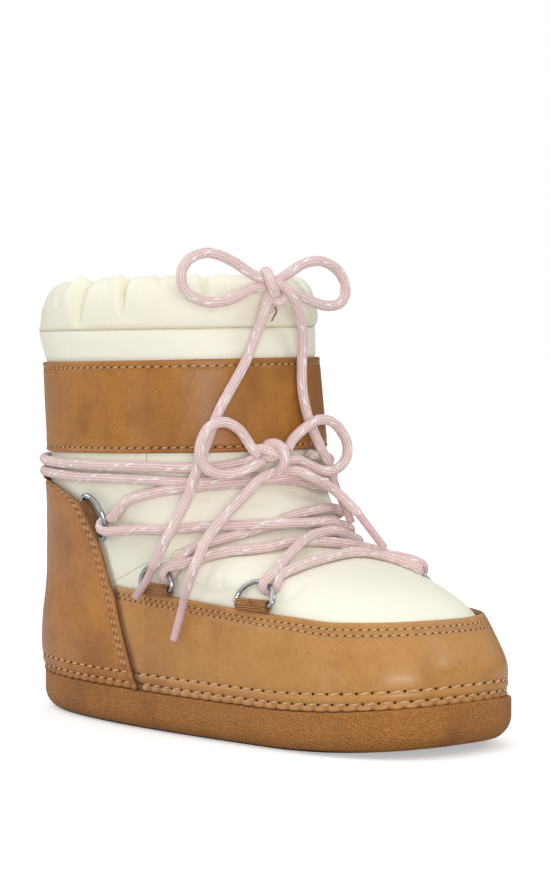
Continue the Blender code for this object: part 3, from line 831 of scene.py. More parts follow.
class Steel(Finish):
    """Polished steel with faint rubbing marks."""

    gloss = {"Metallic": 1.0}

    def look(self, tree: Tree) -> dict[str, Any]:
        """Sockets of the finish.

        Args:
            tree: the material's tree.

        Returns:
            The sockets, by the names of the shader's own.
        """
        rub = tree.noise(tree.place(), 1400.0, 3.0, 0.7)
        rough = tree.ramp(rub, 0.3, 0.7, self.roughness - 0.06, self.roughness + 0.1)
        colour = self.clouds(tree, 300.0, 0.6)["Color"]
        return {"Base Color": colour, "Roughness": rough, "Normal": self.dent(tree, rub, 0.02)}


@dataclass(frozen=True)
class Braid(Finish):
    """Pink braided cord: ribs along it, fine stitches across them and white flecks."""

    gloss = {"Sheen Weight": 0.25, "Sheen Roughness": 0.45, "Specular IOR Level": 0.3, "Coat Roughness": 0.12}
    ribs: float = 12.0
    stitch: float = 1.05
    repeat: float = 11.5
    drift: float = 0.22
    fleck_share: float = 0.44
    fleck: Colour = (0.94, 0.91, 0.90)
    fleck_strength: float = 0.92
    coat: float = 0.0

    def look(self, tree: Tree) -> dict[str, Any]:
        """Sockets of the finish, on a UV map with millimetres along the cord and turns round it.

        Args:
            tree: the material's tree.

        Returns:
            The sockets, by the names of the shader's own.
        """

        def off_middle(value: Socket) -> Socket:
            """How far a value is from the middle between two whole numbers."""
            return tree.math("ABSOLUTE", tree.math("SUBTRACT", tree.math("FRACT", value), 0.5))

        axes = tree.node("ShaderNodeSeparateXYZ", {0: tree.place("UV")}).outputs
        run = axes["X"]
        rib = tree.times(axes["Y"], self.ribs)
        across = off_middle(rib)
        # Stitches slant one way on one half of a rib and the other way on the other half
        slant = tree.math("MULTIPLY_ADD", across, 0.9, tree.math("DIVIDE", run, self.stitch))
        stitch = tree.math("MULTIPLY_ADD", tree.math("SINE", tree.times(slant, TURN)), 0.5, 0.5)
        colour = self.clouds(tree, 120.0, 0.5)["Color"]
        for share, amount in ((stitch, 0.35), (tree.ramp(across, 0.22, 0.42), 0.8)):
            colour = tree.mix(tree.times(share, amount), colour, opaque(self.light))
        # White yarns come up on two strips in seven, which wind slowly round the cord
        strip = tree.math("MULTIPLY_ADD", run, self.drift, rib)
        number = tree.math("FLOOR", strip)
        phase = tree.math("MULTIPLY_ADD", number, 0.37, tree.math("DIVIDE", run, self.repeat))
        long = tree.ramp(off_middle(phase), self.fleck_share / 2, self.fleck_share / 2 - 0.12)
        chosen = tree.math("LESS_THAN", tree.math("FLOORED_MODULO", number, 7.0), 1.5)
        fleck = tree.times(tree.times(long, chosen), tree.ramp(off_middle(strip), 0.5, 0.3))
        colour = tree.mix(tree.times(fleck, self.fleck_strength), colour, opaque(self.fleck))
        height = tree.math("MULTIPLY_ADD", stitch, 0.4, tree.ramp(across, 0.5, 0.15))
        return {"Base Color": colour, "Coat Weight": self.coat, "Normal": self.dent(tree, height, 0.3)}


@dataclass(frozen=True)
class Finishes:
    """All materials of the boot."""

    nylon: Material
    lining: Material
    seam: Material
    leather: Material
    band: Material
    counter: Material
    rubber: Material
    felt: Material
    webbing: Material
    steel: Material
    lace: Material
    tip: Material
    thread: Material
    slit: Material
    hole: Material


def make_finishes() -> Finishes:
    """Build every material once.

    Returns:
        The materials.
    """
    # Class, name, roughness, relief, and base, dark and light tone of each finish
    rows = {
        "nylon": (Nylon, "cream_nylon", 0.5, 0.35,
                  (0.888, 0.868, 0.728), (0.79, 0.745, 0.555), (0.91, 0.895, 0.77)),
        "lining": (Felt, "cream_lining", 0.9, 0.5,
                   (0.72, 0.67, 0.54), (0.60, 0.55, 0.43), (0.78, 0.74, 0.62)),
        "seam": (Thread, "seam_thread", 0.7, 0.3,
                 (0.74, 0.68, 0.50), (0.62, 0.56, 0.38), (0.78, 0.73, 0.57)),
        "leather": (Leather, "tan_leather", 0.46, 0.5,
                    (0.50, 0.236, 0.060), (0.36, 0.15, 0.036), (0.575, 0.30, 0.096)),
        # The band's leather is the rand's made darker: painted shade for the upright band, which gets less
        # light
        "band": (Leather, "band_leather", 0.42, 0.5,
                 (0.432, 0.18, 0.0345), (0.26, 0.094, 0.015), (0.49, 0.222, 0.052)),
        "counter": (Leather, "counter_leather", 0.44, 0.5,
                    (0.48, 0.198, 0.042), (0.28, 0.096, 0.016), (0.54, 0.24, 0.062)),
        "rubber": (Rubber, "brown_rubber", 0.52, 0.9,
                   (0.445, 0.177, 0.032), (0.24, 0.087, 0.016), (0.52, 0.22, 0.05)),
        "felt": (Felt, "footbed_felt", 0.95, 0.6,
                 (0.66, 0.60, 0.47), (0.52, 0.46, 0.34), (0.74, 0.69, 0.57)),
        "webbing": (Webbing, "brown_webbing", 0.75, 0.6,
                    (0.49, 0.215, 0.07), (0.07, 0.022, 0.006), (0.60, 0.32, 0.13)),
        "steel": (Steel, "polished_steel", 0.2, 0.2,
                  (0.46, 0.47, 0.49), (0.32, 0.33, 0.35), (0.62, 0.63, 0.65)),
        "lace": (Braid, "pink_braid", 0.75, 0.9,
                 (0.74, 0.438, 0.42), (0.57, 0.28, 0.283), (0.96, 0.885, 0.86)),
        "tip": (Braid, "lace_tip_film", 0.35, 0.25,
                (0.59, 0.35, 0.365), (0.44, 0.235, 0.255), (0.77, 0.57, 0.57)),
        "thread": (Thread, "tan_thread", 0.6, 0.5,
                   (0.69, 0.44, 0.235), (0.50, 0.28, 0.12), (0.80, 0.58, 0.36)),
        # Dark cord of painted shade in the drawstring's slit
        "slit": (Thread, "slit_edge", 0.8, 0.2,
                 (0.30, 0.21, 0.075), (0.20, 0.13, 0.04), (0.42, 0.32, 0.14)),
        # Dark beads of painted shade in the needle holes
        "hole": (Thread, "needle_hole", 0.8, 0.2,
                 (0.035, 0.014, 0.007), (0.02, 0.008, 0.004), (0.05, 0.02, 0.01)),
    }
    extras = {"leather": {"coat": 0.5},
              "tip": {"coat": 0.6, "fleck": (0.70, 0.55, 0.56), "fleck_strength": 0.4}}
    effects = Effects()
    return Finishes(**{key: kind(*values, effects, **extras.get(key, {})).make()
                       for key, (kind, *values) in rows.items()})


# Sole and footbed


@dataclass(frozen=True)
class Sole:
    """Moulded outsole with toe spring, a rounded lower edge and bar lugs, and the footbed on it."""

    last: Last
    finishes: Finishes
    heel: float = -142.0
    toe: float = 142.2
    widest: float = 46.0
    half: float = 58.0
    heel_round: float = 2.6
    toe_round: float = 2.7
    columns: int = 400
    cap_rows: int = 14
    wall_rows: int = 34
    # Height and how far the wall stands in from the outline
    rings: Table = ((0.0, 8.5), (0.35, 6.6), (1.1, 5.0), (2.6, 3.2), (4.4, 1.7), (6.4, 0.7), (10.0, 0.0),
                    (18.0, 0.0), (18.9, 0.15), (19.35, 0.6), (19.5, 1.2))
    tread_depth: float = 3.2
    tread_groove: float = 5.0
    tread_pitch: float = 13.0
    tread_rim: float = 13.0
    # Heights between which the painted contact shadow on the lower edge fades, and where it ends towards the
    # toe
    contact_shadow_height: Pair = (1.7, 0.9)
    contact_shadow_end: Pair = (122.0, 88.0)
    tread_bar: float = 10.0
    tread_round: float = 0.7
    # First groove and how many follow, under the heel and under the forefoot
    treads: tuple[tuple[float, int], ...] = ((-118.0, 5), (2.0, 9))
    sharp_angle: float = 38.0
    bed_columns: int = 200
    bed_thickness: float = 4.0
    bed_inset: float = 5.8
    bed_edge: float = 1.2
    # Inset and height of the footbed's lower edge
    bed_foot: Pair = (0.4, 0.3)

    def outline(self, theta: Array, inset: Array) -> tuple[Array, Array]:
        """Outline of the sole, drawn in by an inset.

        Args:
            theta: angles round it.
            inset: how far it is drawn in.

        Returns:
            Places along and across the boot.
        """
        row = {"heel": self.heel + inset, "toe": self.toe - inset, "widest": self.widest,
               "half": self.half - inset, "heel_round": self.heel_round, "toe_round": self.toe_round}
        return self.last.egg(theta, row)

    def slab(self, u: Array, v: Array, rings: Array, outline: Shape) -> Array:
        """Points of a slab: its lower face, its wall and its upper face.

        Args:
            u: shares round it.
            v: shares from the middle line below to the middle line above.
            rings: heights and insets up the wall.
            outline: gives places along and across for an angle and an inset.

        Returns:
            The points.
        """
        cap = np.linspace(0.0, 1.0, self.cap_rows)
        narrow = picked(np.concatenate([cap, np.ones(len(rings)), cap[::-1]]), v)
        lower, upper = (np.tile(ring, (self.cap_rows, 1)) for ring in (rings[0], rings[-1]))
        height, inset = picked(np.vstack([lower, rings, upper]), v).T
        x, y = outline(u * TURN, inset)
        return np.stack([x, y * narrow, height + self.last.spring(x)], -1)

    def wall(self) -> Array:
        """Heights and insets up the outsole's wall, at even steps along its section."""
        run = run_along(np.array(self.rings))
        return resampled(np.array(self.rings), run, np.linspace(0.0, run[-1], self.wall_rows))

    def cutter(self) -> bpy.types.Object:
        """Bars with rounded edges that cut the grooves between the lugs.

        Returns:
            The object that cuts.
        """
        bm = bmesh.new()
        for x in (start + i * self.tread_pitch for start, count in self.treads for i in range(count)):
            reach = self.widest - self.heel if x < self.widest else self.toe - self.widest
            roundness = self.heel_round if x < self.widest else self.toe_round
            share = (abs(x - self.widest) + self.tread_groove) / reach
            half = self.half * (1 - share**roundness) ** (1 / roundness) - self.tread_rim
            top = float(self.last.spring(x)) + self.tread_depth
            place = Matrix.Translation(Vector((x, 0.0, top - self.tread_bar / 2)) * MM)
            size = Matrix.Diagonal((self.tread_groove * MM, 2 * half * MM, self.tread_bar * MM, 1.0))
            bmesh.ops.create_cube(bm, size=1.0, matrix=place @ size)
        bmesh.ops.bevel(bm, geom=bm.edges[:], offset=self.tread_round * MM, affect="EDGES", segments=2,
                        profile=0.5, material=-1)
        return show("tread_cutter", mesh_from("tread_cutter", bm))

    def build(self) -> None:
        """Make the outsole, cut its tread, and lay the footbed on it."""
        rings = self.wall()
        cap = np.zeros(self.cap_rows)
        # Painted contact shadow where the sole meets the floor, fading out towards the toe
        contact_shadow = np.concatenate([cap, smoothstep(*self.contact_shadow_height, rings[:, 0]), cap])

        def shape(u: Array, v: Array) -> tuple[Array, Array]:
            """Points of the sole, and the painted contact shadow where it meets the floor."""
            points = self.slab(u, v, rings, self.outline)
            return points, picked(contact_shadow, v) * smoothstep(*self.contact_shadow_end, points[:, 0])

        block = show("plain_sole", mesh_from("plain_sole", lay_grid(self.columns, len(contact_shadow) - 1, shape)))
        cut = block.modifiers.new("tread", "BOOLEAN")
        cut.operation = "DIFFERENCE"
        cut.object = self.cutter()
        result = bmesh.new()
        result.from_object(block, bpy.context.evaluated_depsgraph_get())
        bpy.data.objects.remove(cut.object)
        bpy.data.objects.remove(block)
        outsole = add_piece("moulded_sole", result, [self.finishes.rubber], ["outsole"])
        outsole.data.set_sharp_from_angle(angle=math.radians(self.sharp_angle))
        self.build_bed()

    def build_bed(self) -> None:
        """Make the footbed, with a soft upper edge."""
        low = self.last.floor
        high = low + self.bed_thickness
        edge = self.bed_edge
        inset, foot = self.bed_foot
        rings = np.array([(low, inset), (low + foot, 0.0), (high - edge, 0.0),
                          (high - 0.3 * edge, 0.3 * edge), (high, edge)])

        def outline(theta: Array, inset: Array) -> tuple[Array, Array]:
            """Inside of the upper at the sole, drawn in by an inset."""
            inside = self.last.skin(theta, self.last.sections[0][0], -self.bed_inset - inset)
            return inside[:, 0], inside[:, 1]

        def shape(u: Array, v: Array) -> tuple[Array, Array]:
            """Points of the footbed."""
            return self.slab(u, v, rings, outline), np.zeros(len(u))

        rows = 2 * self.cap_rows + len(rings) - 1
        bm = lay_grid(self.bed_columns, rows, shape)
        add_piece("felt_footbed", bm, [self.finishes.felt], ["insole"])


# Nylon upper and cuff


@dataclass(frozen=True)
class Crease:
    """A soft trough (depth below 0) or ridge on the nylon, along angles in degrees and levels."""

    depth: float
    width: float
    line: Table

    def mirrored(self) -> "Crease":
        """The same crease on the other side."""
        return Crease(self.depth, self.width, mirrored(self.line))


PANEL_SEAM_SIDE: Table = ((-111, 69.8), (-102.8, 76), (-94.8, 82), (-85.5, 87.2), (-66, 91.2), (-43.5, 94.2),
                          (-20, 97.6))
PANEL_SEAM: Table = (*PANEL_SEAM_SIDE, (0, 99.6), *reversed(mirrored(PANEL_SEAM_SIDE)))
SHAFT_SEAM: Table = ((-64.3, 134.5), (-65.2, 126), (-66.4, 119))
CREASES = (
    Crease(-1.0, 2.8, ((-48, 101.5), (-50.3, 100.5), (-57, 97.2), (-64.5, 93.8))),
    Crease(0.6, 3.5, ((-44, 103), (-53, 101.5), (-62, 98.5))),
    Crease(-1.1, 2.4, ((-66, 84), (-69.2, 83), (-82.8, 78.8), (-90.8, 73), (-94, 69))),
    Crease(0.7, 3.5, ((-60, 81), (-74, 77.5), (-84, 73.5))),
    Crease(-0.9, 2.6, ((-38, 77.5), (-42.8, 76), (-55.8, 72.2), (-66.2, 68.5), (-70, 66))),
    Crease(-0.6, 1.8, ((-76, 78), (-84, 74), (-89, 70.5))),
    Crease(-0.5, 1.6, ((-79, 73), (-86, 70.5), (-92, 69))),
    Crease(-0.7, 3.0, ((-60, 110.5), (-67, 108), (-74, 104.5))),
    Crease(-0.6, 3.0, ((2, 113.5), (14, 111), (28, 110.5))),
    Crease(-0.5, 2.2, ((6, 117), (15, 114.5), (24, 114))),
    Crease(-0.8, 3.0, ((-100, 104), (-92, 99), (-86, 92))),
    Crease(-0.5, 4.0, ((-40, 109), (-25, 110.5), (-8, 110))),
)


@dataclass(frozen=True)
class Upper:
    """Padded nylon boot as one hollow wall, pressed in by its cords and creased where it bends."""

    last: Last
    finishes: Finishes
    cords: Array
    wires: Array
    wall: float = 5.0
    columns: int = 460
    outer_rows: int = 156
    inner_rows: int = 24
    puff: float = 0.9
    puff_reach: float = 7.0
    tuck: float = -0.25
    band: Pair = (134.5, 177.3)
    # Share of the puff above the band, and the room that it needs there
    strip_puff: float = 0.6
    strip_room: float = 40.0
    # Heights over which the nylon comes free, below the band and above it
    freed: Pair = (1.5, 1.0)
    # Reach of a crease in its widths, where its ends stop running out, and how
    crease_reach: float = 3.0
    crease_ends: Pair = (0.02, 0.98)
    crease_power: float = 0.6
    seam_depth: float = 0.5
    seam_width: float = 1.3
    thread: float = 0.24
    # Height of the thread in its groove, and points on each side that it is evened over
    thread_rise: float = 0.1
    even: int = 6
    cord_radius: float = 2.6
    wire_radius: float = 1.7
    press_width: float = 4.5
    press_depth: float = 0.4
    # Angles whose slopes set how close the rows lie
    slope_angles: Point = (0.0, -30.0, -90.0)
    uv_size: Pair = (600.0, 350.0)

    def levels(self) -> Array:
        """Levels of the outer rows, closer together where the vamp slopes.

        Returns:
            The levels.
        """
        fine = np.linspace(self.last.sections[0][0], self.last.seam, 2000)
        speed = sum(np.linalg.norm(np.gradient(self.last.point(math.radians(angle), fine), axis=0), axis=1)
                    for angle in self.slope_angles)
        run = np.cumsum(speed)
        return np.interp(np.linspace(run[0], run[-1], self.outer_rows), run, fine)

    def creases(self) -> list[Crease]:
        """All creases and seams, on both sides.

        Returns:
            The creases.
        """
        seams = [Crease(-self.seam_depth, self.seam_width, line) for line in (PANEL_SEAM, SHAFT_SEAM)]
        pairs = [*CREASES, seams[1]]
        return [seams[0], *pairs, *(crease.mirrored() for crease in pairs)]

    def relief(self, theta: Array, level: Array) -> Array:
        """How far the padded nylon stands off the plain last.

        Args:
            theta: angles round the boot.
            level: levels up it.

        Returns:
            Distances outward.
        """
        point, _, _, normal = self.last.frame(theta, level)
        low, high = self.band
        first, second = self.freed
        above = np.clip(level - self.last.leather_top(point[:, 0]), 0.0, None)
        below = np.clip(low - level, 0.0, None)
        body = (1 - np.exp(-above / self.puff_reach)) * (1 - np.exp(-below / self.puff_reach))
        strip = np.clip(level - high, 0.0, None) * np.clip(self.last.seam - level, 0.0, None)
        strip = smoothstep(0.0, self.strip_room, strip)
        free = smoothstep(0.0, first, above) * smoothstep(0.0, first, below)
        free = free + smoothstep(0.0, second, level - high)
        rise = self.tuck * (1 - free) + self.puff * (body + self.strip_puff * strip)
        for crease in self.creases():
            line = self.last.along(crease.line, 1.0)
            reach = self.crease_reach * crease.width
            near = np.all((point > line.min(0) - reach) & (point < line.max(0) + reach), axis=1)
            if not near.any():
                continue
            away = np.linalg.norm(point[near][:, None] - line[None], axis=2)
            share = np.clip(away.argmin(1) / (len(line) - 1), *self.crease_ends)
            taper = np.sin(math.pi * share) ** self.crease_power
            rise[near] += crease.depth * hump(away.min(1), crease.width) * taper * free[near]
        free = np.clip(free, 0.0, 1.0)
        for samples, radius in ((self.cords, self.cord_radius), (self.wires, self.wire_radius)):
            away = nearest(samples, point + normal * rise[:, None])
            press = np.clip(radius - away, 0.0, radius)
            press += self.press_depth * hump(np.clip(away - radius, 0.0, None), self.press_width)
            rise -= press * free
        return rise

    def build(self) -> None:
        """Make the wall and sew its seams."""
        outer = self.levels()
        inner = np.linspace(self.last.seam, self.last.sections[0][0], self.inner_rows)
        level_rows = np.concatenate([outer, inner, outer[:1]])
        depth_rows = np.concatenate([np.zeros(len(outer)), np.ones(len(inner)), [0.0]])

        def shape(u: Array, v: Array) -> tuple[Array, Array]:
            """Points of the wall, outside and inside."""
            theta = u * TURN
            level = picked(level_rows, v)
            depth = picked(depth_rows, v)
            outside = depth < 0.5
            offset = -self.wall * depth
            offset[outside] = self.relief(theta[outside], level[outside])
            points = self.last.skin(theta, level, offset)
            foot = level <= self.last.sections[0][0] + TINY
            points[foot, 2] = self.last.floor + self.last.spring(points[foot, 0])
            return points, depth

        bm = lay_grid(self.columns, len(level_rows) - 1, shape, self.uv_size)
        wear = bm.verts.layers.float["wear"]
        for face in bm.faces:
            face.material_index = int(all(vert[wear] > 0.5 for vert in face.verts))
        for vert in bm.verts:
            vert[wear] = 0.0
        looks = [self.finishes.nylon, self.finishes.lining]
        upper = add_piece("padded_upper", bm, looks, ["upper"])
        self.sew()

    def sew(self) -> None:
        """Lay the thread of the panel seams into their grooves."""
        thread = Cord(radius=self.thread, sides=6)
        width = 2 * self.even + 1
        seams = {"panel_seam": PANEL_SEAM, "shaft_seam_right": SHAFT_SEAM,
                 "shaft_seam_left": mirrored(SHAFT_SEAM)}
        for name, line in seams.items():
            degrees, level, _ = smooth_route([(*place, 0.0) for place in line], 1.0).T
            theta = np.radians(degrees)
            rise = np.maximum(self.relief(theta, level), self.tuck) + self.thread_rise
            rise = np.convolve(np.pad(rise, self.even, mode="edge"), np.ones(width), "valid") / width
            add_piece(name, thread.tube(self.last.skin(theta, level, rise)), [self.finishes.seam])


@dataclass(frozen=True)
class Fold:
    """A gather of the cuff: its angle, breadth in degrees, depth, lean and how far down it runs."""

    angle: float
    breadth: float
    depth: float
    lean: float
    reach: float

    def profile(self, away: Array) -> Array:
        """Share of the depth at some angles from the fold, sharp where it is deep and narrow."""
        sharp = 1.0 < self.depth and self.breadth < 10.0
        return np.exp(-np.abs(away) / self.breadth) if sharp else hump(away, self.breadth)


@dataclass(frozen=True)
class Cuff:
    """Gathered casing on top of the shaft."""

    last: Last
    finishes: Finishes
    columns: int = 520
    rows: int = 96
    # Outward and upward from the seam, and its share of the gathers
    section: Table = ((-0.5, 0.3, 0.0), (0.9, 1.2, 0.05), (1.8, 4.0, 0.3), (2.2, 11.0, 0.6), (0.6, 18.0, 0.9),
                      (-3.8, 23.6, 1.0), (-8.6, 25.2, 1.0), (-12.0, 18.0, 0.6), (-9.0, 8.0, 0.2),
                      (-5.0, 0.3, 0.0))
    folds: tuple[Fold, ...] = (
        Fold(-89.0, 1.6, 6.4, -1.0, 1.0), Fold(-95.0, 2.6, -1.9, -1.0, 0.9), Fold(-80.0, 5.0, -0.6, 0.0, 0.7),
        Fold(-69.5, 1.3, 5.0, 1.5, 0.75), Fold(-73.2, 2.4, -1.7, 1.0, 0.6), Fold(-63.0, 4.0, -0.4, 0.0, 0.5),
        Fold(-54.5, 1.2, 2.4, 1.0, 0.3), Fold(-57.4, 1.5, -1.0, 0.0, 0.3), Fold(-33.0, 1.4, 4.0, 0.0, 0.5),
        Fold(-36.5, 2.2, -1.0, 0.0, 0.4),
        Fold(-27.0, 5.0, -0.5, 0.0, 0.6), Fold(-4.0, 1.3, 2.2, 0.0, 1.0), Fold(2.5, 3.2, 1.6, 5.0, 1.0),
        Fold(22.0, 2.2, 1.6, 2.0, 0.8),
        Fold(-46.0, 6.0, -0.5, 0.0, 0.8), Fold(12.0, 3.0, -0.7, 0.0, 0.9), Fold(-137.0, 26.0, 4.2, 0.0, 1.15),
        Fold(50.0, 14.0, 2.0, 0.0, 0.8),
    )
    # First and last angle and number of the gathers that the view hides
    hidden: tuple[float, float, int] = (38.0, 214.0, 13)
    # Least and most of their shift, breadth, depth and reach
    hidden_range: Table = ((-4.0, 1.8, 1.2, 0.5), (4.0, 3.2, 2.6, 1.0))
    hidden_lean: float = 0.4
    # Ridge beside each of them: its shift, breadth and share of the depth
    ridge: Point = (7.0, 4.0, -0.3)
    # Share of a valley and of a ridge that moves the roll inward, and upward
    inward: Pair = (1.0, 0.3)
    upward: Pair = (0.5, 1.0)
    # Angles and heights along the slit, and half its width
    slit: Table = ((-2.6, 13.5), (-1.9, 10.5), (-1.0, 7.6), (-2.2, 5.2), (-3.2, 3.0))
    slit_half: float = 0.45
    # Place of the piping on the roll's section, and half its thickness
    piping: Point = (0.05, 0.5, 0.0)
    piping_half: float = 0.42
    piping_parts: int = 360
    ripple: float = 0.13
    # Darkening of the nylon all over, the painted shade added in a valley for each millimetre of its depth,
    # and the depth where that ends
    dull: Point = (0.4, 0.12, 4.0)
    seed: int = 7
    uv_size: Pair = (440.0, 75.0)

    def gathers(self) -> list[Fold]:
        """The folds that show from the front, and like ones round the rest.

        Returns:
            All folds.
        """
        draw = np.random.default_rng(self.seed)
        start, end, count = self.hidden
        aside, broad, share = self.ridge
        more = []
        for angle in np.linspace(start, end, count):
            jitter, breadth, depth, reach = draw.uniform(*self.hidden_range)
            more.append(Fold(angle + jitter, breadth, depth, jitter * self.hidden_lean, reach))
            more.append(Fold(angle + jitter + aside, broad, share * depth, 0.0, reach))
        return [*self.folds, *more]

    def roll(self, theta: Array, rows: Array) -> tuple[Array, Array]:
        """Points of the roll, drawn in at each gather.

        Args:
            theta: angles round it.
            rows: outward, upward and share of the gathers at each angle.

        Returns:
            The points, and how much darker the nylon is at each, with painted shade in the valleys.
        """
        seam, _, _, normal = self.last.frame(theta, self.last.seam)
        flat = unit(normal * (1.0, 1.0, 0.0))
        out, up, share = rows.T
        height = up / max(row[1] for row in self.section)
        drawn = np.zeros(len(theta))
        for fold in self.gathers():
            middle = fold.angle + fold.lean * (1 - height)
            away = (np.degrees(theta) - middle + 180.0) % 360.0 - 180.0
            start = 1.0 - fold.reach
            drawn += fold.depth * fold.profile(away) * smoothstep(start - 0.15, start + 0.35, height)
        waves = self.ripple * (np.sin(23 * theta + 1.0) + np.sin(41 * theta + 9.0 * height))
        drawn = drawn * np.clip(0.25 + share, 0.0, 1.0) * smoothstep(0.0, 0.08, height) + waves * share
        points = seam + flat * (out - np.where(drawn > 0.0, *self.inward) * drawn)[:, None]
        points[:, 2] = seam[:, 2] + up - np.where(drawn > 0.0, *self.upward) * drawn * share
        # The nylon darkens a little all over, and more in each valley as painted shade
        least, more, deepest = self.dull
        return points, least + more * np.clip(drawn, 0.0, deepest)

    def build(self) -> None:
        """Make the cuff, a dark cord of painted shade in the slit that the drawstring comes out of, and the
        piping below.
        """
        rows = np.array(self.section)
        run = run_along(rows[:, :2])
        round_rows = resampled(rows, run, np.linspace(0.0, run[-1], self.rows))
        round_rows = np.vstack([round_rows, round_rows[:1]])

        def shape(u: Array, v: Array) -> tuple[Array, Array]:
            """Points of the roll, and how much darker they are, with painted shade in the valleys."""
            return self.roll(u * TURN, picked(round_rows, v))

        bm = lay_grid(self.columns, len(round_rows) - 1, shape, self.uv_size)
        cuff = add_piece("gathered_cuff", bm, [self.finishes.nylon], ["collar_cuff"])
        degrees, up, _ = smooth_route([(*place, 0.0) for place in self.slit], 0.5).T
        face = rows[1:5]
        path = self.roll(np.radians(degrees), resampled(face, face[:, 1], up))[0]
        # A dark cord along the slit: painted shade of its opening
        opening = Cord(radius=self.slit_half, sides=8).tube(path)
        add_piece("drawstring_slit_shade", opening, [self.finishes.slit])
        theta = np.linspace(0.0, TURN, self.piping_parts + 1)[:-1]
        path = self.roll(theta, np.tile(self.piping, (len(theta), 1)))[0]
        piping = Cord(radius=self.piping_half, sides=8).tube(path, closed=True)
        add_piece("cuff_piping", piping, [self.finishes.seam])


# Leather overlays and their stitching


class Stitching:
    """Rows of stitches, kept as lists of places and joined into two meshes."""

    # Degrees that each stitch leans from its row
    slant: ClassVar[float] = 11.0
    # Half the length of a thread as a share of its stitch, and its rise in its half widths
    thread_shares: ClassVar[Pair] = (0.33, 0.3)
    # Width and height of a needle hole's dark bead of painted shade as shares of its length, and its rise in
    # its half widths
    hole_shares: ClassVar[Point] = (0.78, 0.5, -0.1)

    def __init__(self, finishes: Finishes) -> None:
        """Start with no stitches.

        Args:
            finishes: the materials.
        """
        self.finishes = finishes
        self.threads: list[Matrix] = []
        self.holes: list[Matrix] = []

    def row(self, path: Array, normal: Array, pitch: float, radius: float, hole: float) -> None:
        """Sew a row.

        Args:
            path: points on the leather, close together.
            normal: directions out of it at those points.
            pitch: length of a stitch.
            radius: half the thread's thickness.
            hole: half the length of a needle hole, in the thread's half thickness.
        """
        run = run_along(path)
        count = max(1, round(run[-1] / pitch))
        pitch = run[-1] / count
        long, rise = self.thread_shares
        wide, high, sunk = self.hole_shares
        thread = (long * pitch, radius, radius)
        pit = (hole * radius, wide * hole * radius, high * hole * radius)
        for i in range(count):
            self.threads.append(self.bead(path, normal, run, (i + 0.5) * pitch, self.slant, thread, rise))
            # A dark bead of painted shade at each needle hole
            self.holes.append(self.bead(path, normal, run, i * pitch, 3 * self.slant, pit, sunk))

    @staticmethod
    def bead(path: Array, normal: Array, run: Array, at: float, slant: float, sizes: Point,
             lift: float) -> Matrix:
        """Place of one stitch or hole.

        Args:
            path: points on the leather.
            normal: directions out of it.
            run: length along the path to each point.
            at: how far along it lies.
            slant: degrees that it leans from the row.
            sizes: half its length, width and height.
            lift: how far it stands out, in its half widths.

        Returns:
            The matrix that turns a unit bead into it.
        """
        behind, spot, ahead = read_at(path, run, np.clip(at + np.array((-0.5, 0.0, 0.5)), 0.0, run[-1]))
        out = Vector(read_at(normal, run, at)).normalized()
        along = Matrix.Rotation(math.radians(slant), 3, out) @ Vector(ahead - behind).normalized()
        side = out.cross(along).normalized()
        turn = Matrix((side.cross(out), side, out)).transposed().to_4x4()
        place = Matrix.Translation(Vector(spot) + out * lift * sizes[1])
        return place @ turn @ Matrix.Diagonal((*sizes, 1.0))

    @staticmethod
    def joined(name: str, places: list[Matrix], finish: Material) -> None:
        """Join one small bead at each place into a piece.

        Args:
            name: the piece's name.
            places: matrices of the beads, in millimetres.
            finish: their material.
        """
        bm = bmesh.new()
        bmesh.ops.create_uvsphere(bm, u_segments=6, v_segments=5, radius=1.0)
        bead = np.array([vert.co for vert in bm.verts])
        faces = sorted([vert.index for vert in face.verts] for face in bm.faces)
        bm.free()
        turned = [bead @ np.array(place.to_3x3()).T + np.array(place.translation) for place in places]
        mesh = bpy.data.meshes.new("beads")
        every = [[i + k * len(bead) for i in face] for k in range(len(places)) for face in faces]
        mesh.from_pydata(np.vstack(turned) * MM, [], every)
        bm = bmesh.new()
        bm.from_mesh(mesh)
        bpy.data.meshes.remove(mesh)
        add_piece(name, bm, [finish])

    def build(self) -> None:
        """Make the threads, and the dark beads of painted shade at the needle holes."""
        self.joined("stitch_threads", self.threads, self.finishes.thread)
        self.joined("needle_hole_shades", self.holes, self.finishes.hole)


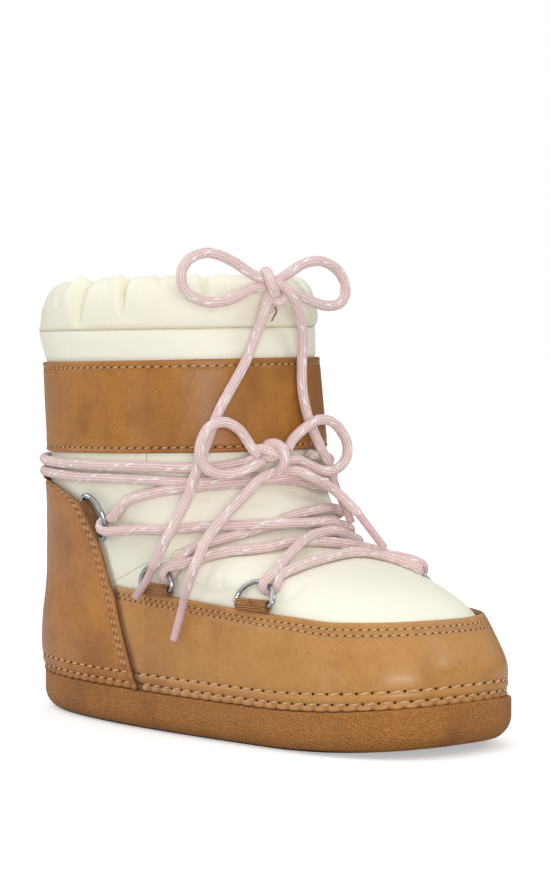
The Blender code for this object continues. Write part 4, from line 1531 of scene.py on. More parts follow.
@dataclass(frozen=True)
class Overlays:
    """Toe rand, heel counter and shaft band, cut from leather and sewn on."""

    last: Last
    finishes: Finishes
    stitching: Stitching
    seat: float = 0.6
    leather: float = 1.8
    face_rows: int = 64
    edge_rows: int = 5
    # Columns over which a strip's end is rounded
    end_columns: float = 1.6
    band_columns: int = 420
    band_samples: int = 1200
    band_levels: Pair = (134.5, 177.3)
    band_rows: Pair = (1.7, 2.4)
    band_pitch: float = 4.5
    rand_columns: int = 560
    rand_samples: int = 1600
    # Share of the rand's half length that its rows of stitches reach
    rand_sewn: float = 0.985
    rand_flare: float = 1.6
    flare_height: Pair = (0.74, 1.0)
    flare_toe: Pair = (0.2, 0.9)
    rand_end: float = 68.0
    rand_rows: Pair = (2.3, 4.7)
    edge_gap: float = 0.6
    # Shares of the rand's length between which the counter's shade fades, and its strength
    end_shade: Pair = (0.0095, 0.0055)
    end_dark: float = 0.85
    counter_columns: int = 360
    # Places along the counter's front edge, its top edge and the sole
    counter_samples: tuple[int, int, int] = (500, 400, 700)
    counter_rows: Pair = (3.4, 6.6)
    counter_hole: float = 1.8
    # Distance from the counter's slanting edge as a share of that along the boot
    counter_slant: float = 0.93
    # How far behind its front edge its top edge begins
    counter_top: float = 22.0
    # Ends of its front rows, from its lower and its upper edge
    counter_sewn: Pair = (11.0, -1.0)
    counter_lift: float = 1.1
    counter_lap: float = 0.1
    rand_lap: float = 1.5
    # Levels, from the rand's end, between which the lap grows
    lap_levels: Pair = (2.0, -6.0)
    lift_reach: float = 9.0
    welt_rows: Pair = (3.4, 8.2)
    welt_pitch: float = 7.4
    welt_hole: float = 2.0
    # How far behind the counter's edge its rows above the sole begin
    welt_back: float = 2.0
    fine_pitch: float = 4.1
    thread: float = 0.32
    welt_thread: float = 0.52
    groove: float = 0.38
    groove_width: float = 0.85

    @property
    def face(self) -> float:
        """Distance of the leather's face from the last."""
        return self.seat + self.leather

    @property
    def row_base(self) -> float:
        """Distance of a fine row's thread from the last."""
        return self.face - self.groove

    def section(self) -> tuple[Array, Array]:
        """Rows round a strip's section, as shares across it and of its thickness.

        Returns:
            Shares across (from the lower edge) and through (from the back), face first, then the
            upper edge, the back and the lower edge.
        """
        even = np.linspace(0.0, 1.0, self.face_rows + 1)
        face = 0.35 * even + 0.65 * even**2
        back = face[::-4]
        turn = np.linspace(0.0, math.pi, self.edge_rows + 2)[1:-1]
        bulge = 0.02 * np.sin(turn)
        edge = 0.5 * np.cos(turn)
        across = np.concatenate([face, 1.0 + bulge, back, -bulge, [0.0]])
        through = np.concatenate([np.ones(len(face)), 0.5 + edge, np.zeros(len(back)), 0.5 - edge, [1.0]])
        return across, through

    def pressed(self, distance: Array) -> Array:
        """Dip of the leather along a row of stitches."""
        return -self.groove * hump(distance, self.groove_width)

    def sewn(self, inside: Array, rows: Pair, theta: Array, level: Array) -> Array:
        """Relief of the face: its rows of stitches, by the distance from them, and its unevenness."""
        return sum(self.pressed(inside - row) for row in rows) + self.uneven(theta, level)

    @staticmethod
    def uneven(theta: Array, level: Array) -> Array:
        """Slow hand-made unevenness of the leather."""
        return 0.14 * np.sin(5 * theta + 0.05 * level) + 0.1 * np.sin(11 * theta + 2.0 - 0.08 * level)

    def welt(self, theta: Array, height: Array) -> Array:
        """Relief just above the sole: two sewn rows, and an edge that bulges between stitches.

        Args:
            theta: angles round the boot, from the toe.
            height: heights above the sole.

        Returns:
            Distances outward.
        """
        dip = sum(self.pressed(height - row) * 1.3 for row in self.welt_rows)
        swell = 0.5 * hump(height - 0.5 * sum(self.welt_rows), 1.8)
        return dip + swell + 0.9 * hump(height - 0.8, 1.5) * self.beat(theta)

    def beat(self, theta: Array) -> Array:
        """0 at each needle hole above the sole's edge, and 1 between two."""
        return np.abs(np.sin(math.pi * self.welt_run(theta) / self.welt_pitch))

    def welt_run(self, theta: Array) -> Array:
        """Length along the sole's edge, from the toe, to an angle.

        Args:
            theta: angles round the boot.

        Returns:
            The lengths.
        """
        fine = np.linspace(-TURN, TURN, 2881)
        run = run_along(self.last.skin(fine, self.last.floor + 4.0, self.face))
        return np.interp(theta, fine, run) - np.interp(0.0, fine, run)

    def sew(self, theta: Array, level: Array, offset: Array, pitch: float, radius: float,
            hole: float = 2.15) -> None:
        """Sew a row along angles and levels, at a distance from the last.

        Args:
            theta: angles round the boot.
            level: levels up it.
            offset: distances outward.
            pitch: length of a stitch.
            radius: half the thread's thickness.
            hole: half the length of a needle hole, in the thread's half thickness.
        """
        point, _, _, normal = self.last.frame(theta, level)
        self.stitching.row(point + normal * offset[:, None], normal, pitch, radius, hole)

    def strip(self, name: str, node: str, columns: int, place: Lay, finish: Material, ends: bool) -> None:
        """Make one overlay.

        Args:
            name: the piece's name.
            node: the solid that it stands for.
            columns: faces along it.
            place: gives angles, levels, face relief, lift, and darkening by cut edges and painted shade, for
                shares along, across and through.
            finish: its material.
            ends: whether it has ends, which are then closed and rounded.
        """
        across_rows, through_rows = self.section()

        def shape(u: Array, v: Array) -> tuple[Array, Array]:
            """Points of the strip's face, edges and back."""
            through = picked(through_rows, v)
            theta, level, relief, lift, wear = place(u, picked(across_rows, v), through)
            thick = through
            if ends:
                near = np.clip(np.minimum(u, 1 - u) * columns / self.end_columns, 0.0, 1.0)
                closed = np.sqrt(np.clip(1 - (1 - near) ** 2, 0, 1))
                thick = 0.5 + (through - 0.5) * closed
                wear = np.maximum(wear, 0.6 * smoothstep(0.9, 0.5, closed))
            points = self.last.skin(theta, level, self.seat + lift + self.leather * thick + relief * through)
            foot = level <= self.last.floor + TINY
            points[foot, 2] = self.last.floor + self.last.spring(points[foot, 0])
            return points, np.clip(wear, 0.0, 1.0)

        add_piece(name, lay_grid(columns, len(across_rows) - 1, shape), [finish], [node])

    def foot_wear(self, theta: Array, across: Array, height: Array) -> Array:
        """Painted shade where the leather meets the sole: a dark line along its lower edge, with a notch at
        each stitch.
        """
        notch = 0.55 * hump(height - 1.2, 1.3) * (1.0 - self.beat(theta)) ** 2
        return np.where(across < 0.0, 1.0, hump(height, 0.7) + notch)

    @staticmethod
    def edge_wear(through: Array) -> Array:
        """Darker cut edge between a strip's face and back."""
        return 0.6 * smoothstep(0.9, 0.6, through) * smoothstep(0.03, 0.25, through)

    @staticmethod
    def row_wear(inside: Array, rows: Pair, through: Array) -> Array:
        """Painted shade in the grooves along rows of stitches, by the distance from them, on a strip's face.
        """
        return 0.25 * sum(hump(inside - row, 0.9) for row in rows) * (through > 0.9)

    def build_band(self) -> None:
        """Make the band round the shaft, with a row of stitches along each edge."""
        low, high = self.band_levels
        rows = (low + self.band_rows[0], high - self.band_rows[1])

        def place(u: Array, across: Array, through: Array) -> tuple[Array, ...]:
            """Where the band lies."""
            theta = u * TURN
            level = low + across * (high - low)
            # Darker cut edges, and painted shade along the rows of stitches
            wear = self.edge_wear(through) + self.row_wear(level, rows, through)
            return theta, level, self.sewn(level, rows, theta, level), np.zeros(len(u)), wear

        self.strip("leather_band", "shaft_band", self.band_columns, place, self.finishes.band, ends=False)
        theta = np.linspace(0.0, TURN, self.band_samples)
        for row in rows:
            offset = self.row_base + self.uneven(theta, row)
            self.sew(theta, np.full(len(theta), row), offset, self.band_pitch, self.thread)

    def rand_place(self, share: Array, across: Array) -> tuple[Array, Array, Array]:
        """Angles, levels and flare of the rand.

        Args:
            share: from -1 at the right end to 1 at the left end.
            across: from 0 at the sole to 1 at the top edge.

        Returns:
            Angles, levels and how far the top edge stands off the vamp.
        """
        low = self.last.floor
        side = float(table(self.last.rand_top, table(self.last.counter_edge, self.rand_end)))
        level = low + np.clip(across, 0.0, 1.0) * (side - low)
        theta = share * self.last.theta_at(level, table(self.last.counter_edge, level) + self.edge_gap)
        for _ in range(4):
            level = low + across * (self.rand_top(theta, level) - low)
        toe = smoothstep(*self.flare_toe, np.cos(theta))
        return theta, level, self.rand_flare * smoothstep(*self.flare_height, across) * toe

    def rand_top(self, theta: Array, level: Array) -> Array:
        """Level of the rand's top edge above a place."""
        return table(self.last.rand_top, self.last.point(theta, level)[:, 0])

    def build_rand(self) -> None:
        """Make the band round the toe, with its four rows of stitches."""
        low = self.last.floor

        def place(u: Array, across: Array, through: Array) -> tuple[Array, ...]:
            """Where the rand lies."""
            theta, level, flare = self.rand_place(2.0 * u - 1.0, across)
            inside = self.rand_top(theta, level) - level
            relief = self.sewn(inside, self.rand_rows, theta, level) + self.welt(theta, level - low)
            # Darker cut edges; painted shade along the rows, at the sole and at the ends under the counter
            wear = self.edge_wear(through) * (across > 0.5) + self.row_wear(inside, self.rand_rows, through)
            wear = wear + self.foot_wear(theta, across, level - low)
            shade = self.end_dark * smoothstep(*self.end_shade, np.abs(np.minimum(u, 1.0 - u)))
            return theta, level, relief, flare, wear + shade * (through > 0.9)

        self.strip("leather_rand", "toe_rand", self.rand_columns, place, self.finishes.leather, ends=True)
        share = np.linspace(-self.rand_sewn, self.rand_sewn, self.rand_samples)
        for row in self.rand_rows:
            _, level, _ = self.rand_place(share, np.ones(len(share)))
            theta, level, flare = self.rand_place(share, 1.0 - row / (level - low))
            offset = self.row_base + flare + self.uneven(theta, level)
            self.sew(theta, level, offset, self.fine_pitch, self.thread)
        for row in self.welt_rows:
            theta, level, _ = self.rand_place(share, np.full(len(share), row / (self.rand_end - low)))
            level = np.full(len(theta), low + row)
            offset = self.face + self.welt(theta, level - low) + self.uneven(theta, level)
            self.sew(theta, level, offset, self.welt_pitch, self.welt_thread, self.welt_hole)

    def counter_front(self, level: Array) -> Array:
        """Place of the counter's front edge, which laps over the rand's end below.

        Args:
            level: levels up it.

        Returns:
            Places along the boot.
        """
        start, end = (self.rand_end + step for step in self.lap_levels)
        lap = self.counter_lap + self.rand_lap * smoothstep(start, end, level)
        return table(self.last.counter_edge, level) + lap

    def lift(self, back: Array | float) -> Array:
        """How far the counter stands up at a distance behind its front edge."""
        return self.counter_lift * smoothstep(self.lift_reach, 1.0, back)

    def build_counter(self) -> None:
        """Make the piece round the heel, whose front edge laps over the rand."""
        low = self.last.floor
        high = self.last.counter_edge[-1][0]

        def place(u: Array, across: Array, through: Array) -> tuple[Array, ...]:
            """Where the counter lies."""
            level = low + across * (high - low)
            within = np.clip(level, low, high)
            edge = self.counter_front(within)
            theta = math.pi + (2.0 * u - 1.0) * (math.pi - self.last.theta_at(within, edge))
            back = edge - self.last.point(theta, within)[:, 0]
            top = np.where(back > self.counter_top, high - level, np.inf)
            inside = np.minimum(back * self.counter_slant, top)
            relief = self.sewn(inside, self.counter_rows, theta, level)
            relief = relief + self.welt(theta - TURN, level - low)
            # Darker cut edge; painted shade along the rows and at the sole
            wear = self.edge_wear(through) * (across > 0.5)
            wear = wear + self.row_wear(inside, self.counter_rows, through)
            wear = wear + self.foot_wear(theta - TURN, across, level - low)
            return theta, level, relief, self.lift(back), wear

        self.strip("leather_counter", "heel_counter", self.counter_columns, place, self.finishes.counter,
                   ends=True)
        self.sew_counter(low, high)

    def sew_counter(self, low: float, high: float) -> None:
        """Sew the counter: two rows inside its edge and two above the sole.

        Args:
            low: level of its lower edge.
            high: level of its upper edge.
        """
        front, upper, lower = self.counter_samples
        level = np.linspace(low + self.counter_sewn[0], high + self.counter_sewn[1], front)
        for row in self.counter_rows:
            inside = np.minimum(level, high - row)
            back = row / self.counter_slant
            theta = self.last.theta_at(inside, self.counter_front(level) - back)
            offset = self.row_base + self.lift(back) + self.uneven(theta, inside)
            for side in Side:
                self.sew(side.value * theta, inside, offset, self.fine_pitch, self.thread, self.counter_hole)
            turn = np.linspace(theta[-1], TURN - theta[-1], upper)
            top = np.full(len(turn), high - row)
            self.sew(turn, top, self.row_base + self.uneven(turn, top), self.fine_pitch, self.thread)
        for row in self.welt_rows:
            start = table(self.last.counter_edge, low + row) - self.welt_back
            end = float(self.last.theta_at(low + row, start))
            theta = np.linspace(end, TURN - end, lower)
            level = np.full(len(theta), low + row)
            lift = self.lift(self.counter_front(level) - self.last.point(theta, level)[:, 0])
            offset = self.face + lift + self.welt(theta - TURN, level - low) + self.uneven(theta, level)
            self.sew(theta, level, offset, self.welt_pitch, self.welt_thread, self.welt_hole)

    def build(self) -> None:
        """Make all three overlays."""
        self.build_band()
        self.build_rand()
        self.build_counter()


# Rings, tabs and cords


@dataclass(frozen=True)
class Cord:
    """Round cord, swept along a path."""

    radius: float = 2.5
    sides: int = 32
    step: float = 1.3
    # Rings that close an end, as shares of the radius, and how far they stand out
    cap: ClassVar[tuple[float, ...]] = (0.0, 0.55, 0.85, 0.97)
    cap_reach: ClassVar[float] = 0.35
    # Breadth that a flattened cord gains, as a share of the height that it loses
    spread: ClassVar[float] = 0.45

    def frames(self, path: Array) -> tuple[Array, Array, Array]:
        """Directions along a path and two across it that don't twist.

        Args:
            path: points along the middle.

        Returns:
            Unit vectors along, and two across.
        """
        along = unit(np.gradient(path, axis=0))
        start = np.cross(along[0], (0.0, 0.0, 1.0))
        if np.linalg.norm(start) < 0.1:
            start = np.cross(along[0], (1.0, 0.0, 0.0))
        across = [start / np.linalg.norm(start)]
        for direction in along[1:]:
            carried = across[-1] - direction * across[-1].dot(direction)
            across.append(carried / np.linalg.norm(carried))
        across = np.array(across)
        return along, across, np.cross(along, across)

    def tube(self, path: Array, girth: Array | None = None, press: Array | None = None,
             closed: bool = False) -> BMesh:
        """Mesh of the cord.

        Args:
            path: evenly spaced points along its middle.
            girth: share of its radius at each point.
            press: vectors that it is flattened along, as long as the share lost.
            closed: whether it runs round into itself.

        Returns:
            A closed mesh, with millimetres along it and turns round it on its UV map.
        """
        along, across, other = self.frames(path)
        girth = np.ones(len(path)) if girth is None else girth
        press = np.zeros_like(path) if press is None else press
        index = np.arange(len(path))
        swell = np.ones(len(path))
        if not closed:
            cap = np.array(self.cap)
            index = np.concatenate([[0] * len(cap), index, [len(path) - 1] * len(cap)])
            swell = np.concatenate([cap, swell, cap[::-1]])
            reach = self.radius * self.cap_reach * np.sqrt(1 - cap**2)
            push = np.concatenate([-reach, np.zeros(len(path)), reach[::-1]])
        else:
            index = np.append(index, 0)
            swell = np.append(swell, 1.0)
            push = np.zeros(len(index))
        amount = np.linalg.norm(press, axis=1)

        def shape(u: Array, v: Array) -> tuple[Array, Array]:
            """Points of the cord's surface."""
            k = picked(np.arange(len(index)), u)
            i = index[k]
            turn = v * TURN
            size = (self.radius * girth[i] * swell[k])[:, None]
            arm = (across[i] * np.cos(turn)[:, None] + other[i] * np.sin(turn)[:, None]) * size
            lost = amount[i][:, None]
            flat = press[i] / np.maximum(lost, 1e-9)
            side = np.cross(flat, along[i])
            arm = arm - flat * np.sum(arm * flat, 1, keepdims=True) * lost
            arm = arm + side * np.sum(arm * side, 1, keepdims=True) * lost * self.spread
            return path[i] + arm + along[i] * (push[k] * girth[i])[:, None], np.zeros(len(u))

        return lay_grid(len(index) - 1, self.sides, shape, (length_of(path), 1.0))


@dataclass(frozen=True)
class Ring:
    """A steel half ring in its webbing tab, at one place on the boot."""

    last: Last
    finishes: Finishes
    place: Place
    side: Side
    half: float = 11.4
    rise: float = 11.2
    wire: float = 1.3
    shoulder: float = 0.14
    bar_share: float = 0.9
    span: float = 8.0
    heel_span: float = 4.0
    heel_level: float = 100.5
    heel_clearance: float = 1.0
    heel_forward: float = 1.2
    seat: float = 0.6
    edge_gap: float = 0.6
    tab_half: float = 9.5
    tab_loop: float = 2.5
    tab_hole: float = 1.6
    tab_drop: float = 3.2
    tab_foot: float = 1.7
    rib_pitch: float = 1.15
    rib_height: float = 0.4
    rib_wave: float = 0.16
    # Faces round the tab, and rows of points on its outside and its inside
    tab_parts: int = 160
    tab_rows: tuple[int, int] = (28, 6)
    # Points on the wire's arc and on its bar
    wire_parts: tuple[int, int] = (40, 14)
    sharp_angle: float = 60.0
    # Painted shade on the heel's tabs, which lie in shadow
    heel_wear: float = 0.55
    # Half the lace's thickness where the ring flattens it
    half_lace: float = 1.75
    # Place along the boot and level of the bar's foot
    spots: ClassVar[dict[Place, Pair]] = {Place.TOE: (52.0, 62.6), Place.MID: (-14.5, 65.7)}
    leans: ClassVar[dict[Place, float]] = {Place.TOE: 12.0, Place.MID: -5.0, Place.HEEL: -6.0}
    # Angle on the arc where the lace goes round it
    lace_angles: ClassVar[dict[Place, float]] = {Place.TOE: 58.0, Place.MID: 42.0, Place.HEEL: 58.0}
    # How far the lace slips along the arc as it goes round
    lace_slips: ClassVar[dict[Place, float]] = {Place.TOE: 0.9, Place.MID: 0.9, Place.HEEL: -2.6}

    @property
    def name(self) -> str:
        """Place and side, as in the nodes' names."""
        return f"{self.place.value}_{self.side.name.lower()}"

    def at_edge(self, level: float, x: float) -> Array:
        """Point on the right side of the boot."""
        return self.last.point(-self.last.theta_at(level, x), level)

    def axes(self) -> tuple[Array, Array, Array, Array]:
        """Middle of the bar, and the directions along it, towards the arc and outward.

        Returns:
            The middle and the three directions.
        """
        at_heel = self.place is Place.HEEL
        if at_heel:
            level, clearance, ahead = self.heel_level, self.heel_clearance, self.heel_forward
            x = float(table(self.last.counter_edge, level))
            levels = (level + self.heel_span, level - self.heel_span)
            ends = [self.at_edge(z, table(self.last.counter_edge, z)) for z in levels]
        else:
            (x, level), clearance, ahead = self.spots[self.place], self.seat, 0.0
            ends = [self.at_edge(level, end) for end in (x - self.span, x + self.span)]
        bar = unit(ends[1] - ends[0])
        foot, _, _, normal = self.last.frame(-self.last.theta_at(level, x), level)
        out = unit(normal - bar * normal.dot(bar))
        up = np.cross(out, bar)
        up = up * np.sign(up[0] if at_heel else up[2])
        middle = foot + up * (self.tab_drop + self.edge_gap + ahead) + out * (clearance + self.tab_loop)
        mirror = np.array((1.0, -self.side.value, 1.0))
        return middle * mirror, bar * mirror, up * mirror, out * mirror

    def lean(self) -> Array:
        """Direction from the bar to the arc, leaning in with the boot.

        Returns:
            The direction.
        """
        _, _, up, out = self.axes()
        tilt = math.radians(self.leans[self.place])
        return up * math.cos(tilt) - out * math.sin(tilt)

    def arc(self, angle: float) -> Array:
        """Point on the arc's middle line.

        Args:
            angle: from 0 at one end of the bar to a half turn at the other.

        Returns:
            The point.
        """
        middle, bar, _, _ = self.axes()
        height = self.shoulder + (1.0 - self.shoulder) * math.sin(angle)
        return middle + bar * math.cos(angle) * self.half + self.lean() * height * self.rise

    def wire_path(self) -> Array:
        """Points along the wire: the arc, and then the bar.

        Returns:
            The points.
        """
        middle, bar, _, _ = self.axes()
        on_arc, on_bar = self.wire_parts
        arc = np.array([self.arc(turn) for turn in np.linspace(0.0, math.pi, on_arc)])
        ends = [middle + bar * self.half * self.bar_share * sign for sign in (-1.0, 1.0)]
        return np.vstack([arc, np.linspace(*ends, on_bar)])

    def lace_pass(self, order: Pass) -> tuple[Array, Array]:
        """The lace's way over the arc, through the window and out behind, or the other way.

        Args:
            order: whether the lace comes over the arc first.

        Returns:
            Points of the way, and the point on the arc.
        """
        angle = math.radians(self.lace_angles[self.place])
        middle, bar, _, out = self.axes()
        wire = self.arc(angle)
        tangent = unit(self.arc(angle + 0.02) - self.arc(angle - 0.02))
        front = np.cross(bar, self.lean())
        front = unit(front) * np.sign(front.dot(out))
        radial = unit(np.cross(tangent, front))
        radial = radial * np.sign(radial.dot(wire - middle))
        gap = self.wire + self.half_lace
        way = np.array([wire + front * gap * 0.8 + radial * 3.2, wire + front * gap - radial * 0.6,
                        wire - radial * gap, wire - front * gap * 0.9 - radial * 0.4,
                        wire - front * gap * 0.75 + radial * 3.4])
        slip = self.lace_slips[self.place] * np.array([1.0, 0.65, 0.0, -0.65, -1.0])
        way = way + tangent * slip[:, None]
        return way if order is Pass.OVER_FIRST else way[::-1], wire

    def build(self) -> None:
        """Make the ring and its tab."""
        mesh = Cord(radius=self.wire, sides=18).tube(self.wire_path(), closed=True)
        ring = add_piece(f"steel_ring_{self.name}", mesh, [self.finishes.steel],
                         [f"ring_{self.name}"])
        ring.data.set_sharp_from_angle(angle=math.radians(self.sharp_angle))
        self.build_tab()

    def build_tab(self) -> None:
        """Make the webbing folded round the bar, ribbed along it and rough at its cut ends."""
        middle, bar, up, out = self.axes()
        fine = np.linspace(0.0, TURN, self.tab_parts + 1)
        c, s = np.cos(fine), np.sin(fine)
        around = np.stack([s, c], -1)
        drop = smoothstep(-0.25, -0.9, s)
        away = self.tab_loop * s * (1 - drop) - self.tab_drop * drop
        through = c * (self.tab_loop * (1 - drop) + self.tab_foot * drop)
        outer = np.stack([away, through], -1)
        run = run_along(outer)
        outward = unit(np.stack([np.gradient(through), -np.gradient(away)], -1))
        outward = outward * np.sign(np.sum(outward * around, 1, keepdims=True))
        inner = self.tab_hole * around
        outside, behind = self.tab_rows
        along_rows = np.concatenate([np.linspace(-1.0, 1.0, outside), np.linspace(1.0, -1.0, behind), [-1.0]])
        inside_rows = np.concatenate([np.zeros(outside), np.ones(behind), [0.0]])
        shade = self.heel_wear if self.place is Place.HEEL else 0.0

        def shape(u: Array, v: Array) -> tuple[Array, Array]:
            """Points of the folded strip."""
            along = picked(along_rows, v)
            inside = picked(inside_rows, v)[:, None]
            at = picked(outer, u) * (1 - inside) + picked(inner, u) * inside
            length = picked(run, u) + self.rib_wave * np.sin(8.0 * along + 1.0)
            rib = np.abs(np.sin(math.pi * length / self.rib_pitch))
            at = at + picked(outward, u) * (self.rib_height * (rib - 0.6))[:, None] * (1 - inside)
            fray = 0.25 * np.sin(picked(run, u) * 5.3) * smoothstep(0.9, 1.0, np.abs(along))
            spot = bar * (along * self.tab_half + fray * np.sign(along))[:, None]
            # Painted shade between the ribs, inside the loop and on the heel's tabs
            wear = smoothstep(0.78, 0.3, rib) * (1 - inside[:, 0])
            wear = np.maximum(wear, shade + 0.5 * inside[:, 0])
            return middle + spot + up * at[:, :1] + out * at[:, 1:], wear

        bm = lay_grid(self.tab_parts, len(along_rows) - 1, shape, (20.0, 40.0))
        add_piece(f"webbing_tab_{self.name}", bm, [self.finishes.webbing], [f"tab_{self.name}"])


# Strands of the lace from ring to ring: angle, level and layer (1 crosses over another strand)
TOE_BAR: Table = ((-50, 77.6, 0), (-40, 79.6, 0), (-27, 81.7, 0), (-8, 83.8, 0), (5, 84.6, 0),
                  (19.5, 84.4, 0), (34, 82.3, 0), (47, 79.2, 0))
TOE_TO_MID: Table = ((-44.3, 79.9, 0.35), (-31.6, 82.9, 0.75), (-15, 86.7, 1), (-0.2, 93.8, 0.5),
                     (14.8, 94.7, 0.15), (28, 92, 0), (40, 89.5, 0), (52, 87.6, 0), (66, 85.6, 0),
                     (77, 83.7, 0), (85, 82.4, 0.1))
TOE_TO_MID_UNDER: Table = ((46, 80.5, 0.3), (33, 85.6, 0), (14.8, 88.7, 0), (0, 90.9, 0), (-15.5, 91.3, 0),
                           (-28.2, 89.3, 0), (-40, 88.1, 0), (-51.8, 87.3, 0), (-65.8, 85.5, 0),
                           (-77, 83.7, 0), (-84.8, 82.5, 0.1))
MID_TO_HEEL_UNDER: Table = ((-84, 84.5, 0), (-71.2, 88.3, 0), (-63, 90.5, 0), (-53.2, 92.5, 0),
                            (-44.2, 94.5, 0), (-35.5, 96.1, 0), (-21.8, 99.1, 0), (-14, 101.7, 0),
                            (-5.5, 103.5, 0), (4.5, 104.5, 0), (20.5, 104.9, 0), (34, 103.5, 0),
                            (48, 101.5, 0), (60, 100, 0), (73, 98.6, 0), (88, 98.2, 0.2))
MID_TO_HEEL: Table = ((84, 84.5, 0), (71.2, 88.3, 0), (63, 90.5, 0), (53.2, 92.5, 0), (44.2, 94.2, 0),
                      (33, 96, 0), (22, 97.6, 0), (13.8, 98.9, 0.1), (-6, 98.6, 0.5), (-19.8, 97.7, 1),
                      (-30, 97.9, 0.9), (-38, 98.6, 0.5), (-51.8, 99.1, 0.1), (-59.8, 98.7, 0),
                      (-72.8, 97.9, 0), (-88.8, 98.1, 0.2))
# Behind the ankle, where the right half crosses over the left one
WIND_BACK: Table = ((115, 123.3, 0), (133, 123.4, 0.1), (150, 123.6, 0.3), (165, 124.6, 0.8), (180, 126.5, 1),
                    (195, 128.4, 0.8), (210, 129.4, 0.3), (228, 129.4, 0.1), (245, 128.8, 0),
                    (275, 128.1, 0), (298, 127.5, 0), (314, 126.8, 0))
WIND_RIGHT: Table = ((-80, 110.7, 0), (-71, 113.5, 0), (-63, 115.3, 0), (-56, 116.4, 0),
                     (-48, 117.3, 0), (-39, 118, 0), (-30.5, 118.6, 0), (-23, 119.3, 0.3), (-13, 120.4, 1),
                     (0, 121.6, 0.8), (12, 122.2, 0.3), (26, 121.8, 0), (40, 120.8, 0), (60, 121.4, 0),
                     (80, 122.2, 0), (95, 122.4, 0), *WIND_BACK, (324, 127, 0), (335, 128.6, 0.3),
                     (340, 130.4, 0.6))
WIND_LEFT: Table = ((80, 109.8, 0), (70, 111.5, 0), (56, 113, 0), (39, 114.2, 0), (28, 114.6, 0),
                    (16, 115.1, 0), (6.5, 117.7, 0), (-2, 119.7, 0), (-13, 120.8, 0), (-21, 121.5, 0),
                    (-30, 121, 0), (-40, 120, 0), (-49.5, 120.3, 0), (-63, 121.3, 0), (-80.5, 122.1, 0),
                    (-95, 122.3, 0), *((-angle, level, 0) for angle, level, _ in WIND_BACK),
                    (-334, 129, 0.3), (-352, 131, 0.6))

# Free cords, as points that each passes through
FREE_CORDS: dict[str, Table] = {
    "lace_loop_right": (
        (21.6, -23.2, 133.6), (20.8, -26.0, 137.3), (20.1, -29.0, 141.5), (19.3, -33.3, 146.6),
        (17.4, -40.6, 150.2), (15.1, -48.2, 148.3), (14.0, -52.7, 141.6), (13.6, -53.5, 135.0),
        (14.6, -50.3, 128.5), (16.6, -43.1, 125.6), (19.4, -35.3, 125.9), (22.6, -29.2, 128.3),
        (23.1, -21.6, 130.9)),
    "lace_loop_left": (
        (25.4, -7.0, 136.3), (25.0, -3.0, 141.0), (26.2, 3.9, 146.3), (27.8, 12.6, 150.2),
        (28.2, 20.4, 148.8), (28.2, 26.2, 144.7), (29.4, 29.5, 138.3), (30.2, 28.4, 131.6),
        (29.9, 22.8, 126.4), (29.4, 14.4, 125.3), (27.7, 5.9, 128.2), (26.4, -0.9, 131.1),
        (25.4, -7.0, 130.9)),
    "lace_end_right": (
        (25.6, -16.7, 126.1), (24.7, -25.6, 122.4), (23.0, -35.8, 113.3), (21.9, -47.4, 104.3),
        (22.0, -57.0, 95.3), (22.3, -62.9, 86.3), (18.1, -64.2, 76.7), (10.7, -61.1, 66.5),
        (7.5, -60.4, 59.1), (3.9, -61.2, 47.4)),
    "lace_end_left": (
        (26.4, -10.5, 126.3), (31.5, -4.6, 125.9), (34.2, 2.9, 122.1), (30.9, 16.4, 117.5),
        (33.0, 21.1, 113.5), (37.0, 23.9, 108.7), (39.8, 25.9, 105.4), (46.3, 28.4, 97.3),
        (57.5, 25.8, 89.9)),
    "drawstring_loop_right": (
        (19.0, -19.0, 218.6), (17.6, -24.4, 220.9), (15.9, -32.7, 225.8), (13.9, -40.5, 229.2),
        (11.7, -48.2, 230.4), (9.0, -56.3, 227.0), (8.2, -60.3, 219.9), (9.1, -58.3, 212.2),
        (11.6, -51.3, 208.0), (13.9, -43.7, 206.9), (16.2, -32.9, 209.3), (17.6, -24.4, 213.2),
        (19.0, -19.0, 213.2)),
    "drawstring_loop_left": (
        (20.0, -4.8, 218.6), (20.4, -0.5, 221.2), (21.1, 7.6, 225.3), (21.8, 16.4, 226.8),
        (22.2, 24.9, 225.1), (22.4, 32.3, 220.1), (22.8, 35.1, 212.7), (22.9, 32.1, 206.9),
        (22.0, 25.1, 205.0), (21.5, 15.3, 206.6), (21.1, 5.6, 210.0), (20.0, -4.8, 213.2)),
    "drawstring_end_right": (
        (19.8, -14.8, 209.2), (19.4, -16.4, 203.3), (16.3, -18.3, 192.7), (14.0, -23.7, 179.0),
        (11.5, -31.1, 165.9), (10.0, -37.3, 155.7), (9.7, -46.4, 138.3), (6.3, -51.0, 122.7),
        (4.4, -53.6, 113.2), (-0.9, -62.1, 94.3), (-14.9, -61.8, 74.3), (-25.4, -59.1, 65.7)),
    "drawstring_end_left": (
        (21.4, -8.4, 209.0), (22.9, -2.6, 206.1), (22.3, 3.7, 200.3), (20.2, 8.2, 192.5),
        (18.1, 10.2, 183.7), (17.9, 9.9, 173.5), (19.6, 8.9, 162.9), (21.7, 11.1, 149.9),
        (24.7, 15.7, 137.2), (24.5, 22.7, 126.2), (26.2, 25.8, 115.9), (36.0, 25.6, 100.8)),
}
DRAWSTRING_LEAD: Table = ((15.4, -9.2, 202.5), (15.6, -9.6, 206.0), (16.8, -10.7, 209.8),
                          (18.6, -11.6, 214.2))

